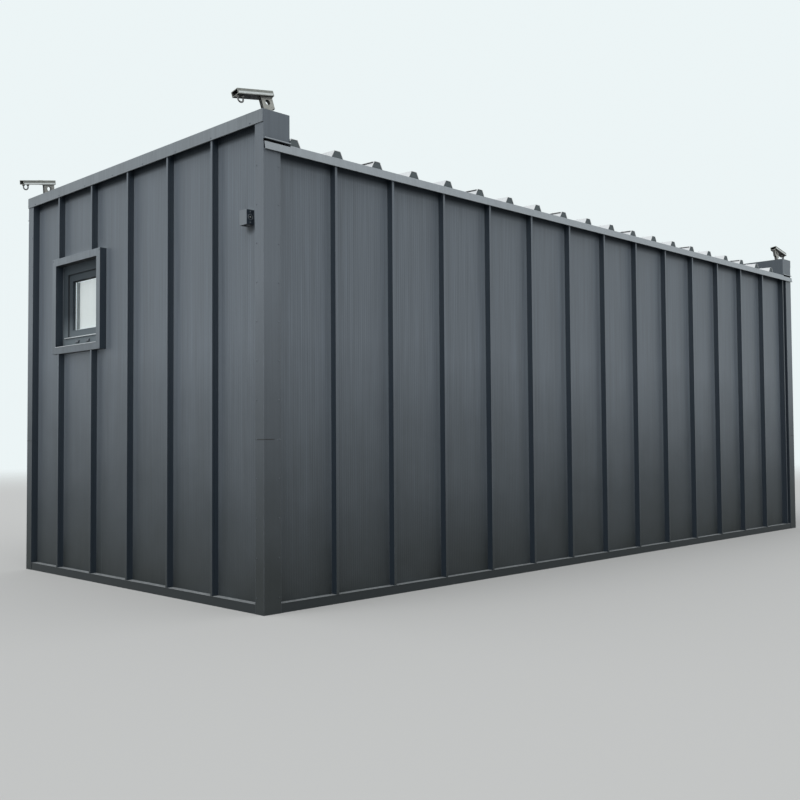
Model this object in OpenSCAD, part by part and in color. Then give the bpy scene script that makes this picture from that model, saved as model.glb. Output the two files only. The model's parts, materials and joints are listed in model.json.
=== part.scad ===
// Portable site cabin: a steel floor frame, insulated walls with standing-seam
// cladding, a crested roof between two end parapets, one small window and a door.
// The long wall at -Y is the front, and the end wall at -X is the window end.
// The origin is on the ground, at the middle of the footprint.

/* [Body] */
// Length over the corner trims
body_l = 7100; // [5200:10:9000]
// Width over the corner trims
body_w = 2980; // [2600:10:3200]
// Height of the top of the eaves flashing above the ground
eaves_h = 2690; // [2600:10:2900]
// Height of the end parapets above the eaves flashing
parapet_h = 180; // [150:5:260]
// Thickness of a wall with its cladding
wall_t = 188; // [170:1:220]

/* [Floor] */
// Height of the edge beams
beam_h = 140; // [120:5:160]
// Width of an edge beam's flanges
beam_flange_w = 60; // [50:5:70]
// Steel thickness of the edge beams
beam_t = 8; // [5:1:10]
// Greatest distance between the joists
joist_spacing = 600; // [400:10:690]
// Width of a joist
joist_w = 60; // [40:5:80]
// Height of a joist
joist_h = 100; // [80:5:110]
// Steel thickness of a joist
joist_t = 4; // [3:1:6]
// Thickness of the sheet under the joists
belly_t = 3; // [2:0.5:5]
// Thickness of the floor deck
deck_t = 22; // [18:1:30]

/* [Frame posts] */
// Steel thickness of the corner posts
post_t = 5; // [4:1:8]
// Thickness of the plate that closes the top of a post
post_plate_t = 10; // [6:1:14]

/* [Cladding] */
// Depth of the pans behind the faces of the corner trims
pan_recess = 50; // [40:1:55]
// Thickness of the cladding sheet
pan_t = 3; // [2:0.5:4]
// Distance between the seams of a long wall
seam_pitch = 489; // [380:1:560]
// Distance from the window end to the first seam of a long wall
first_seam = 554; // [300:1:560]
// Distance between the seams of an end wall
end_seam_pitch = 492; // [380:1:560]
// Distance from the front corner to the first seam of an end wall
first_end_seam = 517; // [300:1:560]
// Width of a seam across its folded head
seam_w = 18; // [14:1:24]
// Width of a seam behind its head
seam_neck_w = 13; // [8:1:13]
// Depth of the hook that the head folds round
seam_hook = 13; // [8:1:18]
// Depth of the seam heads behind the faces of the corner trims
seam_setback = 3; // [2:1:8]

/* [Trims and flashings] */
// Thickness of the folded trims and flashings
fold_t = 2; // [1.5:0.5:3]
// Width of a corner trim's flange on an end wall
end_flange_w = 80; // [60:5:120]
// Width of a corner trim's flange on a long wall
long_flange_w = 122; // [80:1:150]
// Height of the joint in the corner trims
trim_joint_h = 986; // [600:2:1400]
// Width of the joint lines in trims and caps
joint_gap = 1.5; // [1:0.5:3]
// Height of the base flashing
base_h = 55; // [40:1:70]
// Depth of the base flashing's return along the ground
base_return = 24; // [15:1:35]
// Height of the front sheet of the eaves flashing
fascia_h = 54; // [45:1:70]
// How far the eaves flashing stands out at its top
fascia_out_top = 10; // [6:1:16]
// How far the eaves flashing stands out at its lower lip
fascia_out_lip = 20; // [17:1:26]
// Height cut from the eaves flashing below a parapet's side
fascia_notch_h = 9; // [5:1:25]
// Height of the rear verge flashing's sheet below the roof surface
verge_drop = 70; // [50:5:100]
// Length of the rear verge flashing over the crests
verge_cover = 130; // [80:5:200]

/* [Roof] */
// Rise of the roof from the front eaves to the rear edge
roof_rise = 80; // [50:5:100]
// Thickness of the insulated roof panels at their flats
roof_t = 80; // [60:5:100]
// Thickness of the roof sheet at the overhangs
roof_sheet_t = 3; // [2:0.5:4]
// Overhang of the roof sheet past the corner trims
roof_overhang = 8; // [4:1:8]
// Distance between the roof crests
crest_pitch = 336; // [250:1:400]
// Distance from the window end to the middle of the first crest
crest_from_end = 219; // [190:1:300]
// Width of a crest at its foot
crest_foot_w = 98; // [80:2:120]
// Width of a crest at its top
crest_top_w = 48; // [24:2:60]
// Height of a crest
crest_h = 45; // [30:1:50]

/* [Parapets] */
// Height of the cap's drop on the end wall
cap_drop = 75; // [55:5:110]
// How far the cap stands out from the corner trims
cap_out = 6; // [4:1:12]
// Distance from the front corner to the joint in a cap
cap_joint = 1170; // [800:10:1400]
// Height of a parapet side's foot above the eaves flashing
side_foot_h = 8; // [4:1:14]
// Depth of a parapet side's drip lip
lip_out = 11; // [8:1:14]
// Height of a parapet side's drip lip
lip_h = 6; // [3:1:10]

/* [Window] */
// Distance from the rear corner to the window's clear opening
window_from_rear = 459; // [300:1:900]
// Width of the window's clear opening
window_w = 606; // [480:2:640]
// Height of the clear opening's lower edge above the ground
window_sill_h = 1678; // [1300:2:1750]
// Height of the window's clear opening
window_h = 606; // [480:2:640]
// Depth from the corner trims' faces to the face of the fixed frames
reveal_d = 62; // [56:1:80]
// Width of the surround's face
surround_w = 52; // [40:1:60]
// Width of the window's fixed frame
frame_w = 68; // [50:1:80]
// Depth of the window's fixed frame
frame_d = 70; // [60:1:80]
// Width of the sash
sash_w = 52; // [45:1:75]
// Depth of the sash
sash_d = 64; // [54:1:70]
// Depth of the sash's face behind the fixed frame's face
sash_setback = 12; // [8:1:16]
// Thickness of one pane
pane_t = 4; // [3:1:5]
// Space between the two panes
pane_gap = 16; // [12:1:18]
// How far the panes reach into the sash
glazing_bite = 15; // [10:1:20]
// Diameter of the drain caps
drain_cap_d = 18; // [12:1:24]
// Distance between the two drain caps
drain_cap_pitch = 155; // [120:5:170]

/* [Door] */
// Distance from the far end to the middle of the door
door_from_far_end = 2145; // [1500:1:2600]
// Width of the door's clear opening
door_w = 840; // [800:5:900]
// Height of the door's clear opening
door_h = 2060; // [1950:5:2100]
// Width of the door frame's face
door_frame_w = 46; // [38:1:60]
// Depth of the door frame
door_frame_d = 72; // [64:1:80]
// Thickness of the door leaf
leaf_t = 52; // [40:1:60]
// Distance from the leaf's edges to its pressed fields
field_edge = 120; // [80:5:160]
// Distance between the pressed fields
field_gap = 130; // [80:5:180]
// Depth of the pressed fields
field_d = 4; // [2:1:8]
// Height of the handle above the door's sill
handle_h = 1020; // [900:10:1100]
// Distance from the leaf's edge to the middle of the handle
handle_from_edge = 62; // [50:1:80]
// Length of the handle's lever
lever_l = 125; // [100:5:140]
// Thickness of the handle's lever
lever_d = 20; // [16:1:24]
// Distance from the leaf to the middle of the lever
lever_out = 46; // [38:1:50]
// Width of the handle's plate
plate_w = 34; // [28:1:45]
// Height of the handle's plate
plate_h = 220; // [160:5:260]
// Thickness of the handle's plate
plate_t = 8; // [5:1:10]
// Length of a hinge's barrel
hinge_l = 100; // [80:5:140]
// Diameter of a hinge's barrel
hinge_d = 18; // [14:1:20]
// Distance from the leaf's ends to the upper and lower hinges
hinge_from_end = 190; // [120:5:300]

/* [Wall lamp] */
// Distance from the front corner to the middle of the lamp
lamp_from_corner = 190; // [160:1:230]
// Height of the middle of the lamp
lamp_h = 2274; // [2000:2:2400]
// Width of the lamp
lamp_w = 69; // [60:1:90]
// Height of the lamp
lamp_body_h = 87; // [70:1:110]
// Depth of the lamp in front of the pans
lamp_d = 53; // [40:1:70]

/* [Lashing brackets] */
// Distance from an end face to the middle of a bracket's lug
lug_from_end = 121; // [85:1:130]
// Distance from a long face to the middle of a bracket
lug_from_side = 93; // [85:1:115]
// Tilt of the brackets, outer end down
bracket_tilt = 10; // [0:1:12]
// Lean of the brackets towards the middle of the roof
bracket_lean = 11; // [0:1:12]
// Width of the lug plate
lug_w = 83; // [70:1:100]
// Thickness of the lug plate
lug_t = 24; // [10:1:26]
// Height of the lug plate
lug_h = 72; // [64:1:80]
// Height of the lug plate's lower edge above the cap
lug_clear = 43; // [22:1:50]
// Diameter of the hole in the lug plate
lug_hole_d = 34; // [20:1:38]
// Height of the middle of the hole above the lug plate's lower edge
lug_hole_h = 40; // [34:1:44]
// Width of the stem that carries the lug
stem_w = 44; // [30:1:60]
// Depth of the stem below the top of the cap
stem_depth = 90; // [60:1:120]
// Length of the bracket's tube
tube_l = 260; // [200:5:280]
// How far the tube reaches past the lug's middle, towards the roof
tube_inner = 45; // [30:1:60]
// Width of the bracket's tube
tube_w = 63; // [50:1:70]
// Height of the bracket's tube
tube_h = 33; // [30:1:50]
// Wall thickness of the bracket's tube
tube_t = 4; // [3:1:5]
// Diameter of the rod of the lashing eye
eye_rod_d = 10; // [8:1:12]
// Distance between the legs of the lashing eye
eye_w = 36; // [30:1:44]
// Depth of the lashing eye below the tube
eye_drop = 42; // [40:1:60]
// Distance from the tube's outer end to the middle of the lashing eye
eye_from_end = 30; // [28:1:60]

/* [Hidden] */
$fn = 48;
// Clearance between pieces that are fitted into each other
fit = 0.3;
// Height of the parapets and depth of the structure behind the cladding
top_h = eaves_h + parapet_h;
core_d = pan_recess + pan_t;
core_t = wall_t - core_d;
deck_top = beam_h + deck_t;
seam_count = floor((body_l - first_seam - long_flange_w - seam_w) / seam_pitch) + 1;
end_seam_count = floor((body_w - first_end_seam - end_flange_w - seam_w) / end_seam_pitch) + 1;
// Distance from the structure's edge to the inner edge of the edge beams
beam_in = core_d + beam_flange_w;
joist_count = ceil((body_l - 2 * beam_in) / joist_spacing) - 1;
joist_step = (body_l - 2 * beam_in) / (joist_count + 1);
roof_tilt = atan(roof_rise / body_w);
roof_u0 = wall_t + fold_t + fit;
roof_u1 = body_l - roof_u0;
// Rear end of the filled part of the roof, which leans towards the rear pans at its foot
roof_fill_end = body_w - core_d - roof_t * sin(roof_tilt);
crest_count = floor((roof_u1 - crest_from_end - crest_foot_w / 2) / crest_pitch) + 1;
crest_run = (crest_foot_w - crest_top_w) / 2;
crest_inset = roof_sheet_t * tan(atan(crest_h / crest_run) / 2);
// Clear space below the roof sheet where the cladding ends
cladding_gap = 12;
rear_cladding_top = roof_z(body_w - core_d) - cladding_gap;
// Height of the hook of the lower lip on the eaves flashing, and of the nose on the base flashing
lip_hook = 9;
nose_out = 2;
window_u = window_from_rear;
door_u = door_from_far_end - door_w / 2;
door_sill_h = deck_top + fold_t;
pane_d = reveal_d + sash_setback + 24;
glass_w = window_w - 2 * (frame_w + sash_w);
glass_h = window_h - 2 * (frame_w + sash_w);
leaf_w = door_w - 2 * door_frame_w;
leaf_h = door_h - 2 * door_frame_w;
// Distance of the leaf's face behind the door frame's face
leaf_setback = 8;
tube_base = lug_clear + lug_h;
seam_us = [for (i = [0 : seam_count - 1]) first_seam + i * seam_pitch];
end_seam_us = [for (i = [0 : end_seam_count - 1]) first_end_seam + i * end_seam_pitch];
// The same seams as seen from outside on the rear wall and on the window end
rear_seam_us = [for (u = seam_us) body_l - u];
window_seam_us = [for (u = end_seam_us) body_w - u];
crest_us = [for (i = [0 : crest_count - 1]) crest_from_end + i * crest_pitch];

// Height of the roof surface above the ground, at a depth from the front trims
function roof_z(d) = eaves_h + roof_rise * d / body_w;

// Height of the underside of the roof panels at the same depth
function roof_under_z(d) = roof_z(d) - roof_t / cos(roof_tilt);

// Upper outline of the roof sheet: four points for each crest
function crest_outline() = [
    for (c = crest_us)
        for (p = [
            [c - crest_foot_w / 2, 0], [c - crest_top_w / 2, crest_h],
            [c + crest_top_w / 2, crest_h], [c + crest_foot_w / 2, 0]
        ]) p
];

// Inner outline of one crest, below the sheet
function crest_inside(c) = [
    [c - crest_foot_w / 2 + crest_inset, -roof_sheet_t],
    [c - crest_top_w / 2 + crest_inset, crest_h - roof_sheet_t],
    [c + crest_top_w / 2 - crest_inset, crest_h - roof_sheet_t],
    [c + crest_foot_w / 2 - crest_inset, -roof_sheet_t]
];

// A list of points in the opposite order
function backwards(points) = [for (i = [len(points) - 1 : -1 : 0]) points[i]];

// Each wall has a frame of its own, seen from outside:
// x runs from left to right, y is the depth behind the corner trims, and z is the height
module on_front() translate([-body_l / 2, -body_w / 2, 0]) children();
module on_rear() translate([body_l / 2, body_w / 2, 0]) rotate([0, 0, 180]) children();
module on_left() translate([-body_l / 2, body_w / 2, 0]) rotate([0, 0, -90]) children();
module on_right() translate([body_l / 2, -body_w / 2, 0]) rotate([0, 0, 90]) children();

// A profile drawn as depth and height, pulled along the wall from u0 to u1
module along_wall(u0, u1) translate([u0, 0, 0]) rotate([90, 0, 90]) linear_extrude(u1 - u0) children();

// A profile drawn as place and height, pulled into the depth from d0 to d1
module into_depth(d0, d1) translate([0, d1, 0]) rotate([90, 0, 0]) linear_extrude(d1 - d0) children();

// A box from one corner to the other
module block(low, high) translate(low) cube(high - low);

// A sheet's section that follows the points, half its thickness on each side
module folded(points, t = fold_t)
    for (i = [0 : len(points) - 2]) {
        run = points[i + 1] - points[i];
        translate(points[i]) rotate(atan2(run[1], run[0]))
            translate([-t / 2, -t / 2]) square([norm(run) + t, t]);
    }

// Section of an edge beam: a channel that opens inwards
module channel() {
    difference() {
        translate([core_d, 0]) square([beam_flange_w, beam_h]);
        translate([core_d + beam_t, beam_t]) square([beam_flange_w, beam_h - 2 * beam_t]);
    }
}

module floor_side_beams() color("#4a4d50") {
    on_front() along_wall(core_d, body_l - core_d) channel();
    on_rear() along_wall(core_d, body_l - core_d) channel();
}

module floor_end_beams() color("#4a4d50") {
    on_left() along_wall(beam_in, body_w - beam_in) channel();
    on_right() along_wall(beam_in, body_w - beam_in) channel();
}

module joist() {
    translate([-joist_w / 2, beam_in, beam_h - joist_h]) difference() {
        cube([joist_w, body_w - 2 * beam_in, joist_h]);
        translate([joist_t, -1, joist_t])
            cube([joist_w - 2 * joist_t, body_w, joist_h - 2 * joist_t]);
    }
}

module floor_joists() color("#55585b")
    on_front() for (i = [1 : joist_count]) translate([beam_in + i * joist_step, 0, 0]) joist();

module floor_underside() color("#8e9396")
    on_front() block([beam_in, beam_in, beam_h - joist_h - belly_t],
                     [body_l - beam_in, body_w - beam_in, beam_h - joist_h]);

// The square that one corner post stands on, at each corner of the structure
module post_places()
    for (x = [core_d, body_l - wall_t], y = [core_d, body_w - wall_t]) translate([x, y, 0]) children();

module floor_deck() color("#b08a5a") on_front() difference() {
    block([core_d, core_d, beam_h], [body_l - core_d, body_w - core_d, deck_top]);
    post_places() translate([-fit, -fit, 0]) cube([core_t + 2 * fit, core_t + 2 * fit, 2 * deck_top]);
}

// A post with its closing plate, before the slot for the bracket's stem
module post() {
    difference() {
        translate([0, 0, beam_h]) cube([core_t, core_t, top_h - fold_t - beam_h]);
        translate([post_t, post_t, beam_h - 1])
            cube([core_t - 2 * post_t, core_t - 2 * post_t, top_h - fold_t - post_plate_t - beam_h + 1]);
    }
}

module corner_posts() color("#4a4d50") difference() {
    on_front() post_places() post();
    bracket_places() stem(fit);
}

// A slab of insulated wall between two places and two heights
module wall_slab(u0, u1, z0, z1) block([u0, core_d, z0], [u1, wall_t, z1]);

// A slab of long wall whose top follows the underside of the roof
module long_wall_slab(u0, u1, z0, outer_z, inner_z)
    along_wall(u0, u1) polygon([[core_d, z0], [wall_t, z0], [wall_t, inner_z], [core_d, outer_z]]);

module front_wall() color("#d8d9d6") on_front()
    long_wall_slab(wall_t, body_l - wall_t, deck_top, roof_under_z(core_d), roof_under_z(wall_t));

module right_wall() color("#d8d9d6") on_right()
    wall_slab(wall_t, body_w - wall_t, deck_top, top_h - fold_t);

module left_wall_piers() color("#d8d9d6") on_left() {
    wall_slab(wall_t, window_u - fold_t, deck_top, top_h - fold_t);
    wall_slab(window_u + window_w + fold_t, body_w - wall_t, deck_top, top_h - fold_t);
}

module left_wall_bands() color("#d8d9d6") on_left() {
    wall_slab(window_u - fold_t, window_u + window_w + fold_t, deck_top, window_sill_h - fold_t);
    wall_slab(window_u - fold_t, window_u + window_w + fold_t,
              window_sill_h + window_h + fold_t, top_h - fold_t);
}

module rear_wall_slab(u0, u1, z0)
    long_wall_slab(u0, u1, z0, roof_under_z(body_w - core_d), roof_under_z(body_w - wall_t));

module rear_wall_panels() color("#d8d9d6") on_rear() {
    rear_wall_slab(wall_t, door_u - fold_t, deck_top);
    rear_wall_slab(door_u + door_w + fold_t, body_l - wall_t, deck_top);
}

module rear_wall_over_door() color("#d8d9d6") on_rear()
    rear_wall_slab(door_u - fold_t, door_u + door_w + fold_t, door_sill_h + door_h + fold_t);

// Section of one standing seam, seen from above: a neck and a head hooked over one side
module seam_section()
    polygon([
        [-seam_neck_w / 2, pan_recess + pan_t / 2],
        [-seam_neck_w / 2, seam_setback + fold_t + 1],
        [-seam_w / 2, seam_setback + fold_t],
        [-seam_w / 2, seam_setback],
        [seam_w / 2, seam_setback],
        [seam_w / 2, seam_setback + seam_hook],
        [seam_neck_w / 2, seam_setback + seam_hook + 2],
        [seam_neck_w / 2, pan_recess + pan_t / 2]
    ]);

// Pans from u0 to u1 with the seams among them, between two heights
module cladding(u0, u1, seams, z0, z1)
    translate([0, 0, z0]) linear_extrude(z1 - z0) {
        translate([u0, pan_recess]) square([u1 - u0, pan_t]);
        for (u = seams) if (u > u0 && u < u1) translate([u, 0]) seam_section();
    }

// The pans on both sides of an opening, from the base flashing up to a height
module cladding_beside(u, w, u0, u1, seams, z1) {
    cladding(u0, u - fold_t - fit, seams, base_h, z1);
    cladding(u + w + fold_t + fit, u1, seams, base_h, z1);
}

// The strips of pans below and above an opening, whose seams end at the surround
module cladding_strips(u, z, w, h, seams, z1) difference() {
    for (range = [[base_h, z - fold_t - fit], [z + h + fold_t + fit, z1]])
        cladding(u - fold_t - fit, u + w + fold_t + fit, seams, range[0], range[1]);
    block([u - surround_w - fit, -1, z - surround_w - fit],
          [u + w + surround_w + fit, pan_recess, z + h + surround_w + fit]);
}

module front_cladding() color("#3b3f44") on_front()
    cladding(pan_recess, body_l - pan_recess, seam_us, base_h, eaves_h - cladding_gap);

module rear_cladding() color("#3b3f44") on_rear()
    cladding_beside(door_u, door_w, pan_recess, body_l - pan_recess, rear_seam_us, rear_cladding_top);

module rear_cladding_strips() color("#3b3f44") on_rear()
    cladding_strips(door_u, door_sill_h, door_w, door_h, rear_seam_us, rear_cladding_top);

module right_cladding() color("#3b3f44") on_right()
    cladding(core_d, body_w - core_d, end_seam_us, base_h, top_h - cladding_gap);

module left_cladding() color("#3b3f44") on_left()
    cladding_beside(window_u, window_w, core_d, body_w - core_d, window_seam_us, top_h - cladding_gap);

module left_cladding_strips() color("#3b3f44") on_left()
    cladding_strips(window_u, window_sill_h, window_w, window_h, window_seam_us, top_h - cladding_gap);

// Section of a corner trim, seen from above, with the corner at the origin:
// a flange along x, a flange along y, and a return at each edge that meets the pans
module trim_section(x_flange, y_flange) {
    h = fold_t / 2;
    folded([[x_flange - h, pan_recess - h], [x_flange - h, h], [h, h],
            [h, y_flange - h], [pan_recess - h, y_flange - h]]);
}

// The end flange alone, where it goes on behind the parapet's side and cap
module trim_tail_section(y_flange) {
    h = fold_t / 2;
    folded([[h, fold_t + fit + h], [h, y_flange - h], [pan_recess - h, y_flange - h]]);
}

// A corner trim in two lengths, with the tail of its end flange
module corner_trim() {
    long_top = eaves_h - fascia_notch_h - fold_t;
    linear_extrude(trim_joint_h - joint_gap) trim_section(long_flange_w, end_flange_w);
    translate([0, 0, trim_joint_h])
        linear_extrude(long_top - trim_joint_h) trim_section(long_flange_w, end_flange_w);
    translate([0, 0, trim_joint_h])
        linear_extrude(top_h - fold_t - fit - trim_joint_h) trim_tail_section(end_flange_w);
}

// The trims at both ends of the front; those at the rear are their mirror images
module corner_trims_pair() {
    corner_trim();
    translate([body_l, 0, 0]) mirror([1, 0, 0]) corner_trim();
}

module front_corner_trims() color("#41454b") on_front() corner_trims_pair();
module rear_corner_trims() color("#41454b") on_front()
    translate([0, body_w, 0]) mirror([0, 1, 0]) corner_trims_pair();

// Section of the base flashing: a ledge with a nose, a face and a return along the ground
module base_section() {
    h = fold_t / 2;
    folded([[core_d - h, base_h - h], [seam_setback - nose_out + h, base_h - h]]);
    folded([[seam_setback + h, base_h - h], [seam_setback + h, h], [seam_setback + base_return, h]]);
}

module base_flashing() color("#4a4e54") {
    on_front() along_wall(long_flange_w + fit, body_l - long_flange_w - fit) base_section();
    on_rear() along_wall(long_flange_w + fit, body_l - long_flange_w - fit) base_section();
    on_left() along_wall(end_flange_w + fit, body_w - end_flange_w - fit) base_section();
    on_right() along_wall(end_flange_w + fit, body_w - end_flange_w - fit) base_section();
}

// Front sheet of the eaves flashing, as depth and height from the roof's edge:
// it leans outwards to a lower lip that hooks back
module fascia_sheet(top_z) {
    lean = (fascia_out_lip - fascia_out_top) / fascia_h;
    folded([[-fascia_out_top + fold_t / 2 + lean * top_z, top_z - fold_t / 2],
            [-fascia_out_lip + fold_t / 2, -fascia_h + fold_t / 2],
            [-fascia_out_lip + lip_hook, -fascia_h + fold_t / 2]]);
}

// The tongue that fixes the eaves flashing below the roof sheet
module fascia_tongue()
    folded([[-fascia_out_top + fold_t, -roof_sheet_t - fold_t],
            [core_d - fold_t / 2, -roof_sheet_t - fold_t]]);

module eaves_flashing() color("#5a5f66") on_front() translate([0, 0, eaves_h]) {
    along_wall(fit, body_l - fit) fascia_sheet(-fascia_notch_h);
    along_wall(roof_u0, roof_u1) {
        fascia_sheet(0);
        fascia_tongue();
    }
}

// Everything on the roof lies in its tilted frame, which turns about the front edge
module on_roof() on_front() translate([0, 0, eaves_h]) rotate([roof_tilt, 0, 0]) children();

module verge_flashing() color("#5a5f66") on_roof() along_wall(roof_u0, roof_u1)
    folded([[body_w - verge_cover, crest_h + fold_t / 2],
            [body_w + fascia_out_top, crest_h + fold_t / 2],
            [body_w + fascia_out_top, -verge_drop],
            [body_w + fascia_out_lip - fold_t / 2, -verge_drop - fascia_out_top]]);

// A section of the roof, cut off beside both parapets
module between_parapets() intersection() {
    children();
    translate([roof_u0, -2 * roof_t]) square([roof_u1 - roof_u0, 2 * (roof_t + crest_h)]);
}

// The roof sheet alone, as thick at the crests as at the flats
module sheet_section() between_parapets()
    polygon(concat(
        [[0, -roof_sheet_t], [0, 0]], crest_outline(), [[body_l, 0], [body_l, -roof_sheet_t]],
        [for (c = backwards(crest_us)) for (p = backwards(crest_inside(c))) p]
    ));

// The insulated panels, filled from the crests down to their inner face
module panel_section() between_parapets()
    polygon(concat([[0, -roof_t], [0, 0]], crest_outline(), [[body_l, 0], [body_l, -roof_t]]));

module roof_panels() color("#6b6f75") on_roof() {
    into_depth(-roof_overhang, body_w + roof_overhang) sheet_section();
    into_depth(core_d, roof_fill_end) panel_section();
}

// Dark fillers that close the crests below the overhanging sheet, front and rear
module crest_fillers() color("#2b2d30") on_roof() for (c = crest_us) {
    into_depth(-roof_overhang + fold_t, core_d) between_parapets() polygon(crest_inside(c));
    into_depth(roof_fill_end, body_w + roof_overhang - fold_t) between_parapets() polygon(crest_inside(c));
}

// Section of a parapet cap: the drop on the end wall, the top and the inner side
module cap_section() {
    h = fold_t / 2;
    folded([[-cap_out + lip_hook, top_h - cap_drop + h], [-cap_out + h, top_h - cap_drop + h],
            [-cap_out + h, top_h - h], [wall_t + h, top_h - h], [wall_t + h, eaves_h - roof_t / 2]]);
}

// A cap in two lengths, with the joint at a place on the wall
module parapet_cap(joint_u) {
    along_wall(fold_t, joint_u - joint_gap / 2) cap_section();
    along_wall(joint_u + joint_gap / 2, body_w - fold_t) cap_section();
}

module left_parapet_cap() color("#565b62") difference() {
    on_left() parapet_cap(body_w - cap_joint);
    bracket_places() stem(fit);
}

module right_parapet_cap() color("#565b62") difference() {
    on_right() parapet_cap(cap_joint);
    bracket_places() stem(fit);
}

// The panel that closes a parapet towards a long wall, with a drip lip at its foot.
// Its outer edge steps out below the cap's drop
module parapet_side() translate([0, 0, eaves_h]) {
    into_depth(0, fold_t) polygon([
        [0, side_foot_h], [0, parapet_h - cap_drop], [-cap_out, parapet_h - cap_drop],
        [-cap_out, parapet_h], [wall_t + fold_t, parapet_h], [wall_t + fold_t, side_foot_h]
    ]);
    block([0, -lip_out, side_foot_h], [wall_t + fold_t, fold_t, side_foot_h + lip_h]);
}

module parapet_sides_pair() {
    parapet_side();
    translate([0, body_w, 0]) mirror([0, 1, 0]) parapet_side();
}

module left_parapet_sides() color("#4c5157") on_front() parapet_sides_pair();
module right_parapet_sides() color("#4c5157") on_front()
    translate([body_l, 0, 0]) mirror([1, 0, 0]) parapet_sides_pair();

// A rectangular ring round an opening, between two depths.
// grow_out and grow_in move its outer and inner edges away from the opening
module ring(u, z, w, h, grow_out, grow_in, d0, d1) difference() {
    block([u - grow_out, d0, z - grow_out], [u + w + grow_out, d1, z + h + grow_out]);
    block([u - grow_in, d0 - 1, z - grow_in], [u + w + grow_in, d1 + 1, z + h + grow_in]);
}

// A folded surround: a face, an outer skirt down to the pans and a reveal down to the frame
module surround(u, z, w, h) {
    ring(u, z, w, h, surround_w, 0, 0, fold_t);
    ring(u, z, w, h, surround_w, surround_w - fold_t, 0, pan_recess);
    ring(u, z, w, h, fold_t, 0, 0, reveal_d);
}

module window_surround() color("#565b62") on_left() surround(window_u, window_sill_h, window_w, window_h);

module window_frame() color("#3f4348") on_left() {
    ring(window_u, window_sill_h, window_w, window_h, fold_t, -frame_w, reveal_d, reveal_d + frame_d);
    // Glazing drip below the sash
    block([window_u + frame_w, reveal_d - 8, window_sill_h + frame_w - 6],
          [window_u + window_w - frame_w, reveal_d, window_sill_h + frame_w]);
}

module window_sash() color("#3a3e43") on_left() difference() {
    ring(window_u, window_sill_h, window_w, window_h, -frame_w - fit, -frame_w - sash_w,
         reveal_d + sash_setback, reveal_d + sash_setback + sash_d);
    glazing(pane_d - fit, pane_d + 2 * pane_t + pane_gap + fit, fit);
}

// A slab as large as the panes, between two depths
module glazing(d0, d1, extra) {
    e = frame_w + sash_w - glazing_bite - extra;
    block([window_u + e, d0, window_sill_h + e],
          [window_u + window_w - e, d1, window_sill_h + window_h - e]);
}

module window_glass() color("#b9c4c8", 0.5) on_left() glazing(pane_d, pane_d + pane_t, 0);

module window_inner_pane() color("#e6eaea") on_left()
    glazing(pane_d + pane_t + pane_gap, pane_d + 2 * pane_t + pane_gap, 0);

module window_spacer() color("#c9ccce") on_left() {
    e = frame_w + sash_w - glazing_bite;
    ring(window_u, window_sill_h, window_w, window_h, -e - 2, -e - glazing_bite - 8,
         pane_d + pane_t, pane_d + pane_t + pane_gap);
}

module window_drain_caps() color("#565b62") on_left() for (side = [-1, 1])
    translate([window_u + (window_w + side * drain_cap_pitch) / 2, reveal_d, window_sill_h + frame_w / 2])
        rotate([90, 0, 0]) cylinder(d1 = drain_cap_d, d2 = drain_cap_d - 4, h = 6);

module door_surround() color("#565b62") on_rear() surround(door_u, door_sill_h, door_w, door_h);

module door_frame() color("#3f4348") on_rear()
    ring(door_u, door_sill_h, door_w, door_h, fold_t, -door_frame_w, reveal_d, reveal_d + door_frame_d);

module door_leaf() color("#44484e") on_rear() {
    d0 = reveal_d + leaf_setback;
    e = door_frame_w + fit;
    difference() {
        block([door_u + e, d0, door_sill_h + e], [door_u + door_w - e, d0 + leaf_t, door_sill_h + door_h - e]);
        // Three pressed fields in the outer sheet
        step = (leaf_h - field_gap) / 3;
        for (i = [0 : 2])
            translate([0, 0, door_sill_h + e + field_gap + i * step])
                block([door_u + e + field_edge, d0 - 1, 0],
                      [door_u + door_w - e - field_edge, d0 + field_d, step - field_gap]);
    }
}

// A lever handle with its plate, on the lock side of the leaf
module door_handle() color("#b4b7ba") on_rear()
    translate([door_u + door_frame_w + handle_from_edge, reveal_d + leaf_setback, door_sill_h + handle_h]) {
        // The plate reaches further below the lever, where the lock is
        block([-plate_w / 2, -plate_t, -plate_h * 2 / 3], [plate_w / 2, 0, plate_h / 3]);
        translate([0, 2 - plate_t, 0]) rotate([90, 0, 0]) cylinder(d = lever_d, h = lever_out - plate_t + 2);
        translate([0, -lever_out, 0]) rotate([0, 90, 0]) cylinder(d = lever_d, h = lever_l);
        translate([0, -lever_out, 0]) sphere(d = lever_d);
        translate([0, -plate_t, -plate_h * 2 / 5]) rotate([90, 0, 0]) cylinder(d = lever_d - 3, h = plate_t - 1);
    }

// Three barrel hinges on the other side of the leaf
module door_hinges() color("#8b8f93") on_rear() {
    step = (leaf_h - 2 * hinge_from_end - hinge_l) / 2;
    for (i = [0 : 2])
        translate([door_u + door_w - door_frame_w, reveal_d - hinge_d / 2,
                   door_sill_h + door_frame_w + hinge_from_end + i * step])
            cylinder(d = hinge_d, h = hinge_l);
}

module wall_lamp() color("#3f4348") on_left()
    translate([body_w - lamp_from_corner, pan_recess, lamp_h]) difference() {
        block([-lamp_w / 2, -lamp_d, -lamp_body_h / 2], [lamp_w / 2, 0, lamp_body_h / 2]);
        // Light well in the underside
        translate([0, -lamp_d / 2 - 2, -lamp_body_h / 2 - 1]) cylinder(d = lamp_d - 16, h = 26);
    }

// The place of one bracket at the window end, with x pointing towards the other end
module bracket_place(side)
    translate([lug_from_end - body_l / 2, side * (body_w / 2 - lug_from_side), top_h])
        rotate([0, -bracket_tilt, 0]) rotate([side * bracket_lean, 0, 0]) children();

// The places of all four brackets
module bracket_places() for (side = [-1, 1]) {
    bracket_place(side) children();
    mirror([1, 0, 0]) bracket_place(side) children();
}

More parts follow.
